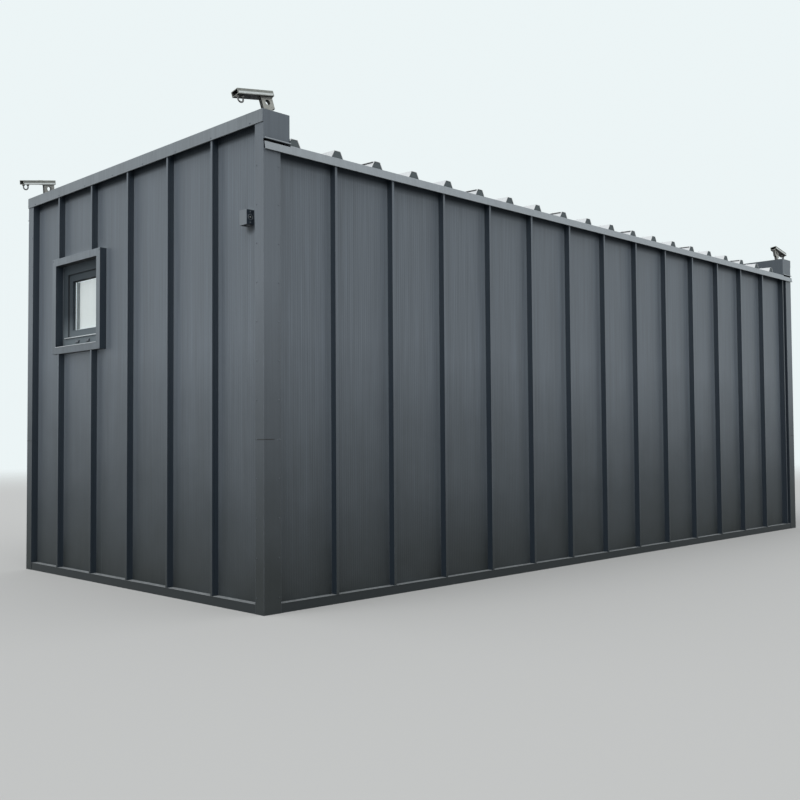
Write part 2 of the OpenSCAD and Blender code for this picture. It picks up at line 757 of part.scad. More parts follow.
// The stem that goes down through the cap into the post
module stem(extra = 0)
    block([-stem_w / 2 - extra, -lug_t / 2 - extra, -stem_depth - extra],
          [stem_w / 2 + extra, lug_t / 2 + extra, lug_clear + 1]);

module lashing_lugs() color("#9da1a3") bracket_places() {
    stem();
    difference() {
        block([-lug_w / 2, -lug_t / 2, lug_clear], [lug_w / 2, lug_t / 2, tube_base]);
        translate([0, lug_t, lug_clear + lug_hole_h]) rotate([90, 0, 0]) cylinder(d = lug_hole_d, h = 2 * lug_t);
    }
}

module lashing_tubes() color("#aeb2b4") bracket_places() translate([tube_inner - tube_l, -tube_w / 2, tube_base])
    difference() {
        cube([tube_l, tube_w, tube_h]);
        translate([-1, tube_t, tube_t]) cube([tube_l + 2, tube_w - 2 * tube_t, tube_h - 2 * tube_t]);
    }

// A bent rod below the tube's outer end
module lashing_eyes() color("#8f9396") bracket_places()
    translate([tube_inner - tube_l + eye_from_end, 0, tube_base]) {
        straight = eye_drop - eye_w / 2 - eye_rod_d / 2;
        for (side = [-1, 1]) translate([side * eye_w / 2, 0, -straight]) cylinder(d = eye_rod_d, h = straight);
        translate([0, 0, -straight]) rotate([-90, 0, 0]) rotate_extrude(angle = 180)
            translate([eye_w / 2, 0]) circle(d = eye_rod_d);
    }

floor_side_beams();
floor_end_beams();
floor_joists();
floor_underside();
floor_deck();
corner_posts();
front_wall();
right_wall();
left_wall_piers();
left_wall_bands();
rear_wall_panels();
rear_wall_over_door();
front_cladding();
right_cladding();
left_cladding();
left_cladding_strips();
rear_cladding();
rear_cladding_strips();
front_corner_trims();
rear_corner_trims();
base_flashing();
eaves_flashing();
verge_flashing();
roof_panels();
crest_fillers();
left_parapet_cap();
right_parapet_cap();
left_parapet_sides();
right_parapet_sides();
window_surround();
window_frame();
window_sash();
window_glass();
window_inner_pane();
window_spacer();
window_drain_caps();
door_surround();
door_frame();
door_leaf();
door_handle();
door_hinges();
wall_lamp();
lashing_lugs();
lashing_tubes();
lashing_eyes();
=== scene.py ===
# %% [markdown]
# # A portable site cabin, dressed in Blender
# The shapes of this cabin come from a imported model: floor, walls, standing-seam cladding,
# crested roof, window, door and lashing brackets. This script keeps those shapes and adds
# what makes them real: paint with its rolled streaks and grime, zinc, glass and rubber, and
# the small parts that a fitter adds last, such as screws, gaskets, laps and weld beads.

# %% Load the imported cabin
import json
import math
import bpy
from mathutils import Matrix, Vector


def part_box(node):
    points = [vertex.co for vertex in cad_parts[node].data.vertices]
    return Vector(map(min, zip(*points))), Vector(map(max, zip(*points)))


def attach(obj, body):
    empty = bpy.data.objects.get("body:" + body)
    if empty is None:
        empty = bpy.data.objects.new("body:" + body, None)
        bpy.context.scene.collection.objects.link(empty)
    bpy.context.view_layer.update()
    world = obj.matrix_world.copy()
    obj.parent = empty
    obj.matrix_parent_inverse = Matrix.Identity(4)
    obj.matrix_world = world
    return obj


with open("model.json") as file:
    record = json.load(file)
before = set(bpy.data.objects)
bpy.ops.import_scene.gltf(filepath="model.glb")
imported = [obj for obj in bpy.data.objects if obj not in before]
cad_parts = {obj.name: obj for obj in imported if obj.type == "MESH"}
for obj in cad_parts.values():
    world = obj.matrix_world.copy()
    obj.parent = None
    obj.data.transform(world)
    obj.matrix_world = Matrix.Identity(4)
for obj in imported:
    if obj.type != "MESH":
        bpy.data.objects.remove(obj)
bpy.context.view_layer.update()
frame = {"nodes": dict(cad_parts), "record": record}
nodes = frame["nodes"]

# %% [markdown]
# ## Places on the cabin
# Every wall is laid out as a builder does it, seen from outside: `u` runs from the left
# end to the right, `d` is the depth behind the corner trims, and `z` is the height. One
# function turns such a place into a point of the model, so all small parts use one rule.

# %% Places on the walls and on the roof
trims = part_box("front_corner_trims")
half_l, half_w = -trims[0].x, -trims[0].y
eaves_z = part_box("eaves_flashing")[1].z
top_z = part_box("left_parapet_cap")[1].z
roof_rise = 0.080
roof_tilt = math.atan(roof_rise / (2 * half_w))
facing = {"front": (0, -1, 0), "rear": (0, 1, 0), "left": (-1, 0, 0), "right": (1, 0, 0)}

def on_wall(wall, u, d, z):
    places = {"front": (-half_l + u, -half_w + d, z), "rear": (half_l - u, half_w - d, z),
              "left": (-half_l + d, half_w - u, z), "right": (half_l - d, -half_w + u, z)}
    return Vector(places[wall])

def on_roof(u, d, z):
    lifted = Matrix.Rotation(roof_tilt, 4, "X") @ Vector((u, d, z))
    return Vector((-half_l, -half_w, eaves_z)) + lifted

print("half length and width, m:", round(half_l, 3), round(half_w, 3), "eaves:", round(eaves_z, 3))

# %% [markdown]
# ## Shader wiring
# Materials here are built in code, so short helpers keep them readable. They add a node and
# fill its inputs, do one sum or one blend, or open a node group with named inputs and
# outputs. A socket knows the tree that it belongs to, so most of them find the tree alone.
# A group is a finish that several materials share, each with its own values.

# %% Helpers for shader nodes
def put(tree, kind, inputs=None, **settings):
    node = tree.nodes.new(kind)
    for key, value in settings.items():
        setattr(node, key, value)
    for key, value in (inputs or {}).items():
        if isinstance(value, bpy.types.NodeSocket):
            tree.links.new(value, node.inputs[key])
        else:
            node.inputs[key].default_value = value
    return node

def add(kind, inputs, **settings):
    tree = next(v.id_data for v in inputs.values() if isinstance(v, bpy.types.NodeSocket))
    return put(tree, kind, inputs, **settings)

def feed(sockets, values):
    for name, value in values.items():
        value.id_data.links.new(value, sockets[name])

def calc(operation, a, b=0.0, clamp=False):
    return add("ShaderNodeMath", {0: a, 1: b}, operation=operation, use_clamp=clamp).outputs[0]

def plus(a, b):
    return calc("ADD", a, b)

def minus(a, b, clamp=False):
    return calc("SUBTRACT", a, b, clamp)

def times(a, b, clamp=False):
    return calc("MULTIPLY", a, b, clamp)

def blend(factor, a, b):
    return add("ShaderNodeMix", {0: factor, 6: a, 7: b}, data_type="RGBA").outputs[2]

def brighten(colour, level):
    return add("ShaderNodeHueSaturation", {"Value": level, "Color": colour}).outputs[0]

def spread(value, low, high, to_low=0.0, to_high=1.0, smooth=False):
    kind = "SMOOTHSTEP" if smooth else "LINEAR"
    return add("ShaderNodeMapRange", {0: value, 1: low, 2: high, 3: to_low, 4: to_high},
               interpolation_type=kind).outputs[0]

def noise(point, scale, detail=2.0, rough=0.5):
    return add("ShaderNodeTexNoise", {"Vector": point, "Scale": scale, "Detail": detail,
                                      "Roughness": rough}).outputs["Fac"]

# %% Helpers for vectors and groups
NUMBER, COLOUR, VECTOR = "NodeSocketFloat", "NodeSocketColor", "NodeSocketVector"

def vector_calc(operation, a, b=(0, 0, 0), result="Vector"):
    return add("ShaderNodeVectorMath", {0: a, 1: b}, operation=operation).outputs[result]

def axes_of(vector):
    return add("ShaderNodeSeparateXYZ", {0: vector}).outputs

def face_normal(tree):
    return put(tree, "ShaderNodeNewGeometry").outputs["Normal"]

def stretch(point, scale):
    return add("ShaderNodeMapping", {"Vector": point, "Scale": scale}).outputs[0]

def new_group(name, takes, gives, starts=()):
    tree = bpy.data.node_groups.new(name, "ShaderNodeTree")
    for side, sockets in (("INPUT", takes), ("OUTPUT", gives)):
        for title, kind in sockets.items():
            socket = tree.interface.new_socket(name=title, in_out=side, socket_type=kind)
            if title in starts:
                socket.default_value = starts[title]
    return tree, tree.nodes.new("NodeGroupInput").outputs, tree.nodes.new("NodeGroupOutput").inputs

def finish_group(tree, gives, values):
    feed(gives, values)
    print("group", tree.name, "has", len(tree.nodes), "nodes")

def use_group(tree, group, inputs):
    return put(tree, "ShaderNodeGroup", inputs, node_tree=group).outputs

print("helpers for nodes and groups are ready")

# %% [markdown]
# ## Rolled sheet
# Coated steel comes off a roll and through forming rollers. They leave fine streaks along
# the sheet, which catch the light as faint vertical bands. Micro ribs, about 18 mm apart,
# stiffen the flat pans, which are still never quite flat. A noise texture stretched along
# the height gives the streaks, a sine the ribs, and a second, wide noise the slow waves.
# Ribs and waves bend the light, so they are bump. The ribs also shade the colour a little,
# because from afar their bump is too fine to see.

# %% The rolled sheet group
rib_pitch = 0.018
streaks_up = 0.45
wide_share, fine_share = 0.65, 0.35

rolled, takes, gives = new_group(
    "Rolled sheet",
    {"Point": VECTOR, "Colour": COLOUR, "Streaks per metre": NUMBER, "Streak contrast": NUMBER,
     "Wave height": NUMBER, "Rib height": NUMBER, "Rib shade": NUMBER},
    {"Colour": COLOUR, "Roughness shift": NUMBER, "Height": NUMBER})
axes = axes_of(takes["Point"])
across = [times(axes[i], takes["Streaks per metre"]) for i in (0, 1)]
upwards = times(axes[2], streaks_up)
stretched = add("ShaderNodeCombineXYZ", {0: across[0], 1: across[1], 2: upwards}).outputs[0]
wide_streaks = noise(stretched, 1.0, 3.0, 0.8)
fine_streaks = noise(stretched, 5.0, 1.0)
rib_phase = times(plus(axes[0], axes[1]), 2 * math.pi / rib_pitch)
rib_wave = calc("SINE", rib_phase)
ribs = times(rib_wave, takes["Rib height"])
streaks = plus(times(wide_streaks, wide_share), times(fine_streaks, fine_share))
swing = times(minus(streaks, 0.5), takes["Streak contrast"])
rib_shade = times(times(rib_wave, wide_streaks), takes["Rib shade"])
level = plus(plus(times(swing, 4.0), rib_shade), 1.0)
squashed = stretch(takes["Point"], (1.0, 1.0, 0.35))
waves = times(noise(squashed, 2.4, 1.0), takes["Wave height"])
texture = plus(ribs, times(fine_streaks, 0.02))
finish_group(rolled, gives, {"Colour": brighten(takes["Colour"], level),
                             "Roughness shift": swing, "Height": plus(waves, texture)})

# %% [markdown]
# ## Dust and painted shade
# A cabin stands outside for years, and dust settles on every ledge. The colour also grows
# darker towards the foot of the walls, as painted shade for the dark ground that the low
# walls reflect, and undersides get painted shade. Height and the direction of the surface
# decide where each one lies, and noise breaks their edges up.

# %% The group for dust and painted shade
underside_painted_shade_tone = (0.012, 0.012, 0.012, 1)

dust_and_shade, takes, gives = new_group(
    "Dust and painted shade",
    {"Point": VECTOR, "Colour": COLOUR, "Low shade colour": COLOUR, "Low shade": NUMBER,
     "Low shade height": NUMBER, "Dust colour": COLOUR, "Dust": NUMBER, "Underside shade": NUMBER},
    {"Colour": COLOUR, "Low shade mask": NUMBER, "Dust mask": NUMBER},
    {"Low shade colour": (0.022, 0.027, 0.028, 1), "Low shade height": 1.2,
     "Dust colour": (0.30, 0.30, 0.28, 1)})
patches = noise(takes["Point"], 2.2, 4.0, 0.6)
height = axes_of(takes["Point"])[2]
ragged = plus(height, times(minus(patches, 0.5), 0.5))
# Darker towards the bottom: painted shade for the dark ground that the low walls reflect.
low_down = spread(ragged, takes["Low shade height"], 0.0)
low_shaded = times(low_down, takes["Low shade"], clamp=True)
darkened_low = blend(low_shaded, takes["Colour"], takes["Low shade colour"])
normal_up = axes_of(face_normal(dust_and_shade))[2]
ledge = spread(normal_up, 0.35, 0.95)
speckle = spread(noise(takes["Point"], 45.0, 3.0, 0.7), 0.25, 0.7, 0.45, 1.0)
dusty = times(times(ledge, speckle), takes["Dust"], clamp=True)
# Faces that look down get painted shade.
underside = times(spread(normal_up, -0.25, -0.9), takes["Underside shade"], clamp=True)
shaded_below = blend(underside, darkened_low, underside_painted_shade_tone)
dusted = blend(dusty, shaded_below, takes["Dust colour"])
finish_group(dust_and_shade, gives, {"Colour": dusted, "Low shade mask": low_shaded, "Dust mask": dusty})

# %% [markdown]
# ## Edges
# No folded edge is knife-sharp, and paint is thinnest there. The Bevel node looks around
# each point for an edge and returns a rounded normal. Where that normal leaves the true
# one, an edge is near, so the same node gives both a soft highlight and a mask. The mask
# lightens the edges: partly worn paint, partly a painted highlight where the folds catch the sky.

# %% The edge group
edges, takes, gives = new_group(
    "Edges", {"Point": VECTOR, "Radius": NUMBER, "Wear and highlight": NUMBER}, {"Wear and highlight mask": NUMBER, "Normal": VECTOR})
rounded = add("ShaderNodeBevel", {"Radius": takes["Radius"]}, samples=4).outputs[0]
agree = vector_calc("DOT_PRODUCT", rounded, face_normal(edges), "Value")
near_edge = spread(agree, 0.995, 0.80)
patchy = spread(noise(takes["Point"], 28.0, 4.0, 0.65), 0.35, 0.65)
uneven = plus(times(patchy, 0.6), 0.4)
worn_and_lit = times(times(near_edge, uneven), takes["Wear and highlight"], clamp=True)
finish_group(edges, gives, {"Wear and highlight mask": worn_and_lit, "Normal": rounded})

# %% [markdown]
# ## Hollows
# Shade falls where two faces meet: below the eaves, behind the surround and along the foot
# of each seam. The Ambient Occlusion node measures how closed in a point is, so it serves
# as a mask for painted shade there.

# %% The hollow group
hollows, takes, gives = new_group(
    "Hollows", {"Reach": NUMBER, "Starts at": NUMBER, "Full at": NUMBER}, {"Mask": NUMBER},
    {"Starts at": 0.4, "Full at": 0.9})
sky = add("ShaderNodeAmbientOcclusion", {"Distance": takes["Reach"]}, samples=8).outputs["AO"]
closed_in = minus(1.0, sky)
finish_group(hollows, gives, {"Mask": spread(closed_in, takes["Starts at"], takes["Full at"])})

# %% [markdown]
# ## Seam flanks
# The flanks of the standing seams get painted shade as a whole. They are the only faces of
# the cladding that look along their own wall, so the normal and the place pick them out. The
# sheet gets painted shade too in the narrow strip beside the corner trim at the right-hand end
# of each long wall. The group also marks the top of the pans, for a painted shadow below the
# eaves and the caps, a painted shadow below the lamp, and the inner sides of the parapets,
# for painted shade.

# %% The flank group: which faces
end_wall_depth, corner_land = 0.056, 0.010
strip_from, strip_to, strip_shade = 0.215, 0.130, 0.85

flanks, takes, gives = new_group(
    "Seam flanks", {"Point": VECTOR},
    {"Flank": NUMBER, "Under the top": NUMBER, "Facing inwards": NUMBER})
# Faces turned inwards, such as the inner sides of the parapets, are marked for painted shade.
inwards = vector_calc("NORMALIZE", vector_calc("MULTIPLY", takes["Point"], (-1, 0, 0)))
inwards = vector_calc("DOT_PRODUCT", inwards, face_normal(flanks), "Value")
facing_in = spread(inwards, 0.6, 0.9)
here = axes_of(vector_calc("ABSOLUTE", takes["Point"]))
turned_to = axes_of(vector_calc("ABSOLUTE", face_normal(flanks)))
on_end = calc("GREATER_THAN", here[0], half_l - end_wall_depth)
on_side = minus(1.0, on_end)
inside_end = times(on_end, calc("LESS_THAN", here[1], half_w - corner_land))
looks_along = plus(times(on_side, turned_to[0]), times(inside_end, turned_to[1]))
from_middle = axes_of(takes["Point"])
far_corner = calc("LESS_THAN", times(from_middle[0], from_middle[1]), 0.0)
beside_trim = times(calc("GREATER_THAN", here[0], half_l - strip_from),
                    calc("LESS_THAN", here[0], half_l - strip_to))
beside_trim = times(beside_trim, times(on_side, far_corner))
beside_trim = times(beside_trim, strip_shade)
# Seam flanks and the strip beside the far trim are marked for painted shade.
flank = calc("MAXIMUM", spread(looks_along, 0.6, 0.9), beside_trim)
print("flanks are marked with", len(flanks.nodes), "nodes")

# %% The flank group: under the top
shade_below_cap = (top_z - 0.120, top_z - 0.090)
shade_below_eaves = (eaves_z - 0.105, eaves_z - 0.060)
lamp_shadow_edge, lamp_shadow_core, lamp_shadow_strength = 0.055, 0.027, 0.85
lamp_foot = on_wall("left", 2.797, 0.050, 2.228)

depth = calc("MINIMUM", minus(half_l, here[0]), minus(half_w, here[1]))
set_back = spread(depth, 0.010, 0.030)
# Below the caps and the eaves: a painted shadow.
below_cap = times(on_end, spread(here[2], *shade_below_cap))
below_eaves = times(on_side, spread(here[2], *shade_below_eaves))
below_top = times(plus(below_cap, below_eaves), set_back)
# Below the lamp: a painted shadow.
to_lamp = vector_calc("DISTANCE", takes["Point"], lamp_foot, "Value")
below_lamp = spread(to_lamp, lamp_shadow_edge, lamp_shadow_core, 0.0, lamp_shadow_strength)
under_top = calc("MAXIMUM", below_top, below_lamp)
finish_group(flanks, gives, {"Flank": flank, "Facing inwards": facing_in, "Under the top": under_top})

# %% [markdown]
# ## Fine grain and zinc
# Powder coat, plastic foil, foam and rubber have a grain that shows only as a soft, uneven
# shine. Hot-dip zinc is different: it freezes in crystals, each with its own grey, which
# Voronoi cells imitate well. Both are groups, because several finishes use them.

# %% The grain group and the zinc group
grain, takes, gives = new_group(
    "Fine grain",
    {"Point": VECTOR, "Colour": COLOUR, "Grains per metre": NUMBER, "Cloudiness": NUMBER},
    {"Colour": COLOUR, "Height": NUMBER, "Roughness shift": NUMBER})
clouds = minus(noise(takes["Point"], 6.0, 4.0, 0.6), 0.5)
cloudy = plus(times(clouds, takes["Cloudiness"]), 1.0)
finish_group(grain, gives, {"Colour": brighten(takes["Colour"], cloudy),
                            "Height": noise(takes["Point"], takes["Grains per metre"]),
                            "Roughness shift": times(clouds, 0.25)})

zinc, takes, gives = new_group(
    "Zinc crystals",
    {"Point": VECTOR, "Colour": COLOUR, "Crystals per metre": NUMBER, "Contrast": NUMBER},
    {"Colour": COLOUR, "Roughness shift": NUMBER, "Height": NUMBER})
cells = add("ShaderNodeTexVoronoi",
            {"Vector": takes["Point"], "Scale": takes["Crystals per metre"]}, feature="F1")
cell_grey = axes_of(cells.outputs["Color"])[0]
runs = noise(stretch(takes["Point"], (1.0, 3.0, 1.0)), 9.0, 4.0, 0.6)
shade = plus(minus(cell_grey, 0.5), times(minus(runs, 0.5), 1.6))
dulled = plus(times(shade, takes["Contrast"]), 1.0)
finish_group(zinc, gives, {"Colour": brighten(takes["Colour"], dulled),
                           "Roughness shift": times(shade, 0.15),
                           "Height": plus(cell_grey, runs)})

# %% [markdown]
# ## Painted steel
# Cladding, trims, flashings, door and steel frame are all coated steel and differ in tone,
# shine, dust and painted shade. One function builds the shader from the groups: rolled
# streaks, then dust and painted shade, then wear and a painted highlight on the edges. The
# gloss of the coating is a clear coat that the low painted shade takes away. Constants sit
# on the shader's own sockets, and `finishes` files each material.

# %% A function for coated steel
finishes = {}
painted_shade_tone = (0.004, 0.009, 0.015, 1)
flank_tone = (0.016, 0.026, 0.038, 1)
hollow_light_tone = (0.19, 0.22, 0.25, 1)
ledge_dust_tone = (0.31, 0.33, 0.34, 1)

def set_on(shader, values):
    for name, value in values.items():
        shader.inputs[name].default_value = value

def start_material(name, roughness=0.5, metallic=0.0, specular=0.5):
    material = bpy.data.materials.new(name)
    material.use_nodes = True
    finishes[name] = material
    tree = material.node_tree
    shader = tree.nodes["Principled BSDF"]
    set_on(shader, {"Roughness": roughness, "Metallic": metallic, "Specular IOR Level": specular})
    return material, tree, shader, put(tree, "ShaderNodeTexCoord").outputs["Object"]

def bump_from(shader, height, distance, normal=None):
    inputs = {"Height": height, "Distance": distance, "Strength": 1.0}
    if normal:
        inputs["Normal"] = normal
    feed(shader.inputs, {"Normal": add("ShaderNodeBump", inputs).outputs[0]})

def hollow_mask(tree, reach, strength):
    return times(use_group(tree, hollows, {"Reach": reach})["Mask"], strength)

def coated_steel(name, colour, roughness=0.5, specular=0.4, coat=0.35, streak=0.26, streaks=26.0,
                 waves=0.5, ribs=0.0, low_shade=0.95, low_shade_height=1.6, dust=0.35, underside_shade=0.5, wear_and_highlight=0.45,
                 radius=0.003, flank=0.0, shade_under_top=0.0, inside=0.0, hollow_light=0.0, hollow=0.9):
    material, tree, shader, point = start_material(name, roughness, 0.0, specular)
    set_on(shader, {"Coat Roughness": 0.40, "Coat IOR": 1.6})
    sheet = use_group(tree, rolled, {
        "Point": point, "Colour": (*colour, 1), "Streaks per metre": streaks, "Streak contrast": streak,
        "Wave height": waves, "Rib height": ribs, "Rib shade": ribs * 3.2})
    dusted_and_shaded = use_group(tree, dust_and_shade, {
        "Point": point, "Colour": sheet["Colour"], "Low shade": low_shade, "Low shade height": low_shade_height,
        "Dust": dust, "Underside shade": underside_shade, "Dust colour": ledge_dust_tone})
    edge = use_group(tree, edges, {"Point": point, "Radius": radius, "Wear and highlight": wear_and_highlight})
    # Edges turn lighter: worn paint and a painted highlight.
    worn_and_lit_tone = tuple(min(1.0, v * 2.2 + 0.05) for v in colour)
    tone = blend(edge["Wear and highlight mask"], dusted_and_shaded["Colour"], (*worn_and_lit_tone, 1))
    # Closed-in places on the pans are made lighter: painted light against the shade there.
    if hollow_light:
        foot = use_group(tree, hollows, {"Reach": 0.09, "Starts at": 0.12, "Full at": 0.5})["Mask"]
        foot = times(foot, minus(1.0, dusted_and_shaded["Low shade mask"], clamp=True))
        tone = blend(times(foot, hollow_light), tone, hollow_light_tone)
    masks = []
    # Closed-in places get painted shade.
    if hollow:
        masks.append(hollow_mask(tree, 0.09, hollow))
    # Flanks, inward faces and the top of the pans get painted shade.
    if flank or shade_under_top or inside:
        places = use_group(tree, flanks, {"Point": point})
        tone = blend(times(places["Flank"], flank), tone, flank_tone)
        tone = blend(times(places["Facing inwards"], inside), tone, flank_tone)
        masks.append(times(places["Under the top"], shade_under_top))
    for mask in masks:
        tone = blend(mask, tone, painted_shade_tone)
    # The roughness rises with the low painted shade and with the dust.
    low_shade_and_dust_dulling = plus(times(dusted_and_shaded["Low shade mask"], 0.15), times(dusted_and_shaded["Dust mask"], 0.35))
    rough = plus(plus(sheet["Roughness shift"], low_shade_and_dust_dulling), roughness)
    feed(shader.inputs, {"Base Color": tone, "Roughness": rough})
    if coat:
        # The clear coat fades where the low painted shade lies.
        gloss = times(minus(1.0, times(dusted_and_shaded["Low shade mask"], 1.5), clamp=True), coat)
        for mask in masks:
            gloss = times(gloss, minus(1.0, mask))
        feed(shader.inputs, {"Coat Weight": gloss})
    bump_from(shader, sheet["Height"], 0.003, edge["Normal"])
    return material

# %% [markdown]
# The steel parts of the cabin come from one tone of anthracite, but each takes the light
# and the dirt in its own way. The roof sheet is light grey. The eaves flashing is paler than
# the walls, and its tone also carries the bright sky that it faces, as painted light. The base
# flashing is the dirtiest part.

# %% The coated steel parts
# The flank, top and inside values below paint shade on seam flanks, on the sides of trims, surround and lamp,
# below the eaves and caps, and on the inner faces of the parapets.
coated_steel("cladding_steel", (0.099, 0.118, 0.141), streak=0.30, streaks=18.0, ribs=0.05, low_shade=1.0,
             flank=0.95, shade_under_top=0.92, hollow_light=0.75, hollow=0.0)
coated_steel("trim_steel", (0.103, 0.121, 0.143), streak=0.15, waves=0.2, low_shade=1.1,
             low_shade_height=1.9, wear_and_highlight=0.8, flank=0.9)
coated_steel("base_steel", (0.020, 0.025, 0.028), streak=0.1, waves=0.2, specular=0.3, coat=0.0,
             low_shade=0.3, dust=1.0, wear_and_highlight=0.1, hollow=0.0)
coated_steel("surround_steel", (0.160, 0.185, 0.212), waves=0.1, low_shade_height=2.6, underside_shade=0.95,
             flank=0.97, wear_and_highlight=0.7)
coated_steel("cap_steel", (0.158, 0.179, 0.198), waves=0.2, underside_shade=0.9, inside=0.8)
coated_steel("parapet_steel", (0.092, 0.110, 0.132), waves=0.2, inside=0.8)
# The pale tone of the eaves flashing also carries the sky light that it catches: painted light.
coated_steel("eaves_steel", (0.285, 0.315, 0.34), streak=0.12, waves=0.3, low_shade=0.0, underside_shade=0.95, wear_and_highlight=0.7)
coated_steel("roof_steel", (0.66, 0.68, 0.69), streak=0.05, low_shade=0.0, dust=0.2, hollow=0.5)
coated_steel("door_steel", (0.095, 0.112, 0.134), streak=0.08, waves=0.25)
coated_steel("frame_steel", (0.060, 0.065, 0.070), 0.6, coat=0.1, streak=0.06, low_shade=0.3)
coated_steel("lamp_housing", (0.145, 0.165, 0.185), coat=0.2, streak=0.05, waves=0.0, low_shade=0.0,
             underside_shade=0.95, flank=0.97)
print("coated steel:", ", ".join(finishes))

# %% [markdown]
# ## Zinc, plastic, foam and lining
# The brackets are hot-dip galvanised. Their undersides look down on the dark caps; there
# the metal shine is turned off and the colour gets painted shade. Window frames are plastic
# with an anthracite foil; their tone is pale for the lit lower part, and their upper part,
# under the surround, gets painted shade. The lining inside is a smooth off-white panel. Each
# of these finishes needs one pattern group.

# %% A function for zinc and one for grained surfaces
zinc_dust_tone, zinc_edge_tone = (0.42, 0.42, 0.39, 1), (0.66, 0.66, 0.64, 1)
zinc_hollow_tone = (0.010, 0.011, 0.012, 1)
shaded_top_from, shaded_top_to = 1.72, 1.92

def zinc_coated(name, colour, roughness, metallic=0.55, crystals=90.0, contrast=0.3, dust=0.2,
                end_face_shade=0.0):
    material, tree, shader, point = start_material(name, roughness, metallic, 0.1)
    cells = use_group(tree, zinc, {
        "Point": point, "Colour": (*colour, 1), "Crystals per metre": crystals, "Contrast": contrast})
    # Undersides get painted shade here, and the Metallic further down is turned off on them.
    dusted_and_shaded = use_group(tree, dust_and_shade, {
        "Point": point, "Colour": cells["Colour"], "Low shade": 0.0, "Dust": dust, "Underside shade": 0.97,
        "Dust colour": zinc_dust_tone})
    edge = use_group(tree, edges, {"Point": point, "Radius": 0.002, "Wear and highlight": 0.5})
    # Edges turn lighter: worn zinc and a painted highlight.
    tone = blend(edge["Wear and highlight mask"], dusted_and_shaded["Colour"], zinc_edge_tone)
    normal = axes_of(face_normal(tree))
    # Closed-in places get painted shade.
    dark = hollow_mask(tree, 0.05, 0.9)
    # Faces that look along x, the ends of the lugs, get painted shade.
    if end_face_shade:
        end_shade = spread(calc("ABSOLUTE", normal[0]), 0.7, 0.9, 0.0, end_face_shade)
        dark = calc("MAXIMUM", dark, end_shade)
    feed(shader.inputs, {
        "Base Color": blend(dark, tone, zinc_hollow_tone),
        "Roughness": plus(cells["Roughness shift"], roughness),
        "Metallic": spread(normal[2], -0.9, -0.25, 0.0, metallic)})
    bump_from(shader, cells["Height"], 0.0006, edge["Normal"])
    return material

def grained(name, colour, roughness, grains=900.0, cloudiness=0.12, depth=0.0003, dust=0.15, wear_and_highlight=0.2,
            hollow=0.8, specular=0.5, shaded_top=0.0):
    material, tree, shader, point = start_material(name, roughness, 0.0, specular)
    skin = use_group(tree, grain, {
        "Point": point, "Colour": (*colour, 1), "Grains per metre": grains, "Cloudiness": cloudiness})
    dusted_and_shaded = use_group(tree, dust_and_shade, {
        "Point": point, "Colour": skin["Colour"], "Low shade": 0.15, "Dust": dust, "Underside shade": 0.3})
    edge = use_group(tree, edges, {"Point": point, "Radius": 0.0015, "Wear and highlight": wear_and_highlight})
    # Edges turn lighter: worn skin and a painted highlight.
    pale = tuple(min(1.0, v * 1.6 + 0.02) for v in colour)
    tone = blend(edge["Wear and highlight mask"], dusted_and_shaded["Colour"], (*pale, 1))
    # Closed-in places get painted shade.
    if hollow:
        tone = blend(hollow_mask(tree, 0.06, hollow), tone, painted_shade_tone)
    # The upper part is darkened: painted shade under the surround.
    if shaded_top:
        height = axes_of(point)[2]
        top_shade = spread(height, shaded_top_from, shaded_top_to, 0.0, shaded_top)
        tone = blend(top_shade, tone, painted_shade_tone)
    rough = plus(skin["Roughness shift"], roughness)
    feed(shader.inputs, {"Base Color": tone, "Roughness": rough})
    bump_from(shader, skin["Height"], depth, edge["Normal"])
    return material

zinc_coated("galvanised_steel", (0.25, 0.255, 0.235), 0.45)
zinc_coated("lug_zinc", (0.35, 0.345, 0.32), 0.5, crystals=110.0, end_face_shade=0.85)
zinc_coated("eye_steel", (0.22, 0.22, 0.22), 0.5, crystals=140.0)
zinc_coated("underside_sheet", (0.30, 0.32, 0.33), 0.5, crystals=60.0)
zinc_coated("handle_steel", (0.55, 0.56, 0.57), 0.3, 1.0, 500.0, 0.06, 0.05)
grained("spacer_bar", (0.86, 0.90, 0.93), 0.35, 700.0, 0.05, 0.0001, 0.0, 0.0, hollow=0.0)
# The frame's pale tone stands for its lit lower part: painted light.
grained("window_plastic", (0.158, 0.188, 0.206), 0.55, wear_and_highlight=0.15, hollow=0.25, specular=0.1,
        shaded_top=0.72)
grained("wall_panel", (0.70, 0.70, 0.67), 0.6, 300.0, 0.05, hollow=0.3)
grained("filler_foam", (0.094, 0.114, 0.122), 0.85, 350.0, 0.3, 0.002)
print("finishes so far:", len(finishes))

# %% [markdown]
# The floor deck hardly shows while the door is shut, but it still gets wood.
# Long fibres come from a noise texture squeezed across the boards, and a wave of slow
# rings behind it keeps them from looking like plain stripes.

# %% Plywood
pale_wood, dark_wood = (0.50, 0.34, 0.19, 1), (0.33, 0.20, 0.10, 1)
material, tree, shader, point = start_material("floor_board", 0.65)
fibres = noise(stretch(point, (1.5, 60.0, 60.0)), 1.0, 5.0, 0.65)
rings = add("ShaderNodeTexWave", {"Vector": point, "Scale": 1.4, "Distortion": 9.0, "Detail": 2.0},
            bands_direction="Y").outputs["Fac"]
figure = plus(times(fibres, 0.7), times(rings, 0.3))
tone = spread(figure, 0.3, 0.75)
feed(shader.inputs, {"Base Color": blend(tone, pale_wood, dark_wood),
                     "Roughness": spread(fibres, 0.2, 0.8, 0.55, 0.75)})
bump_from(shader, fibres, 0.0005)
print(material.name, "has", len(tree.nodes), "nodes")

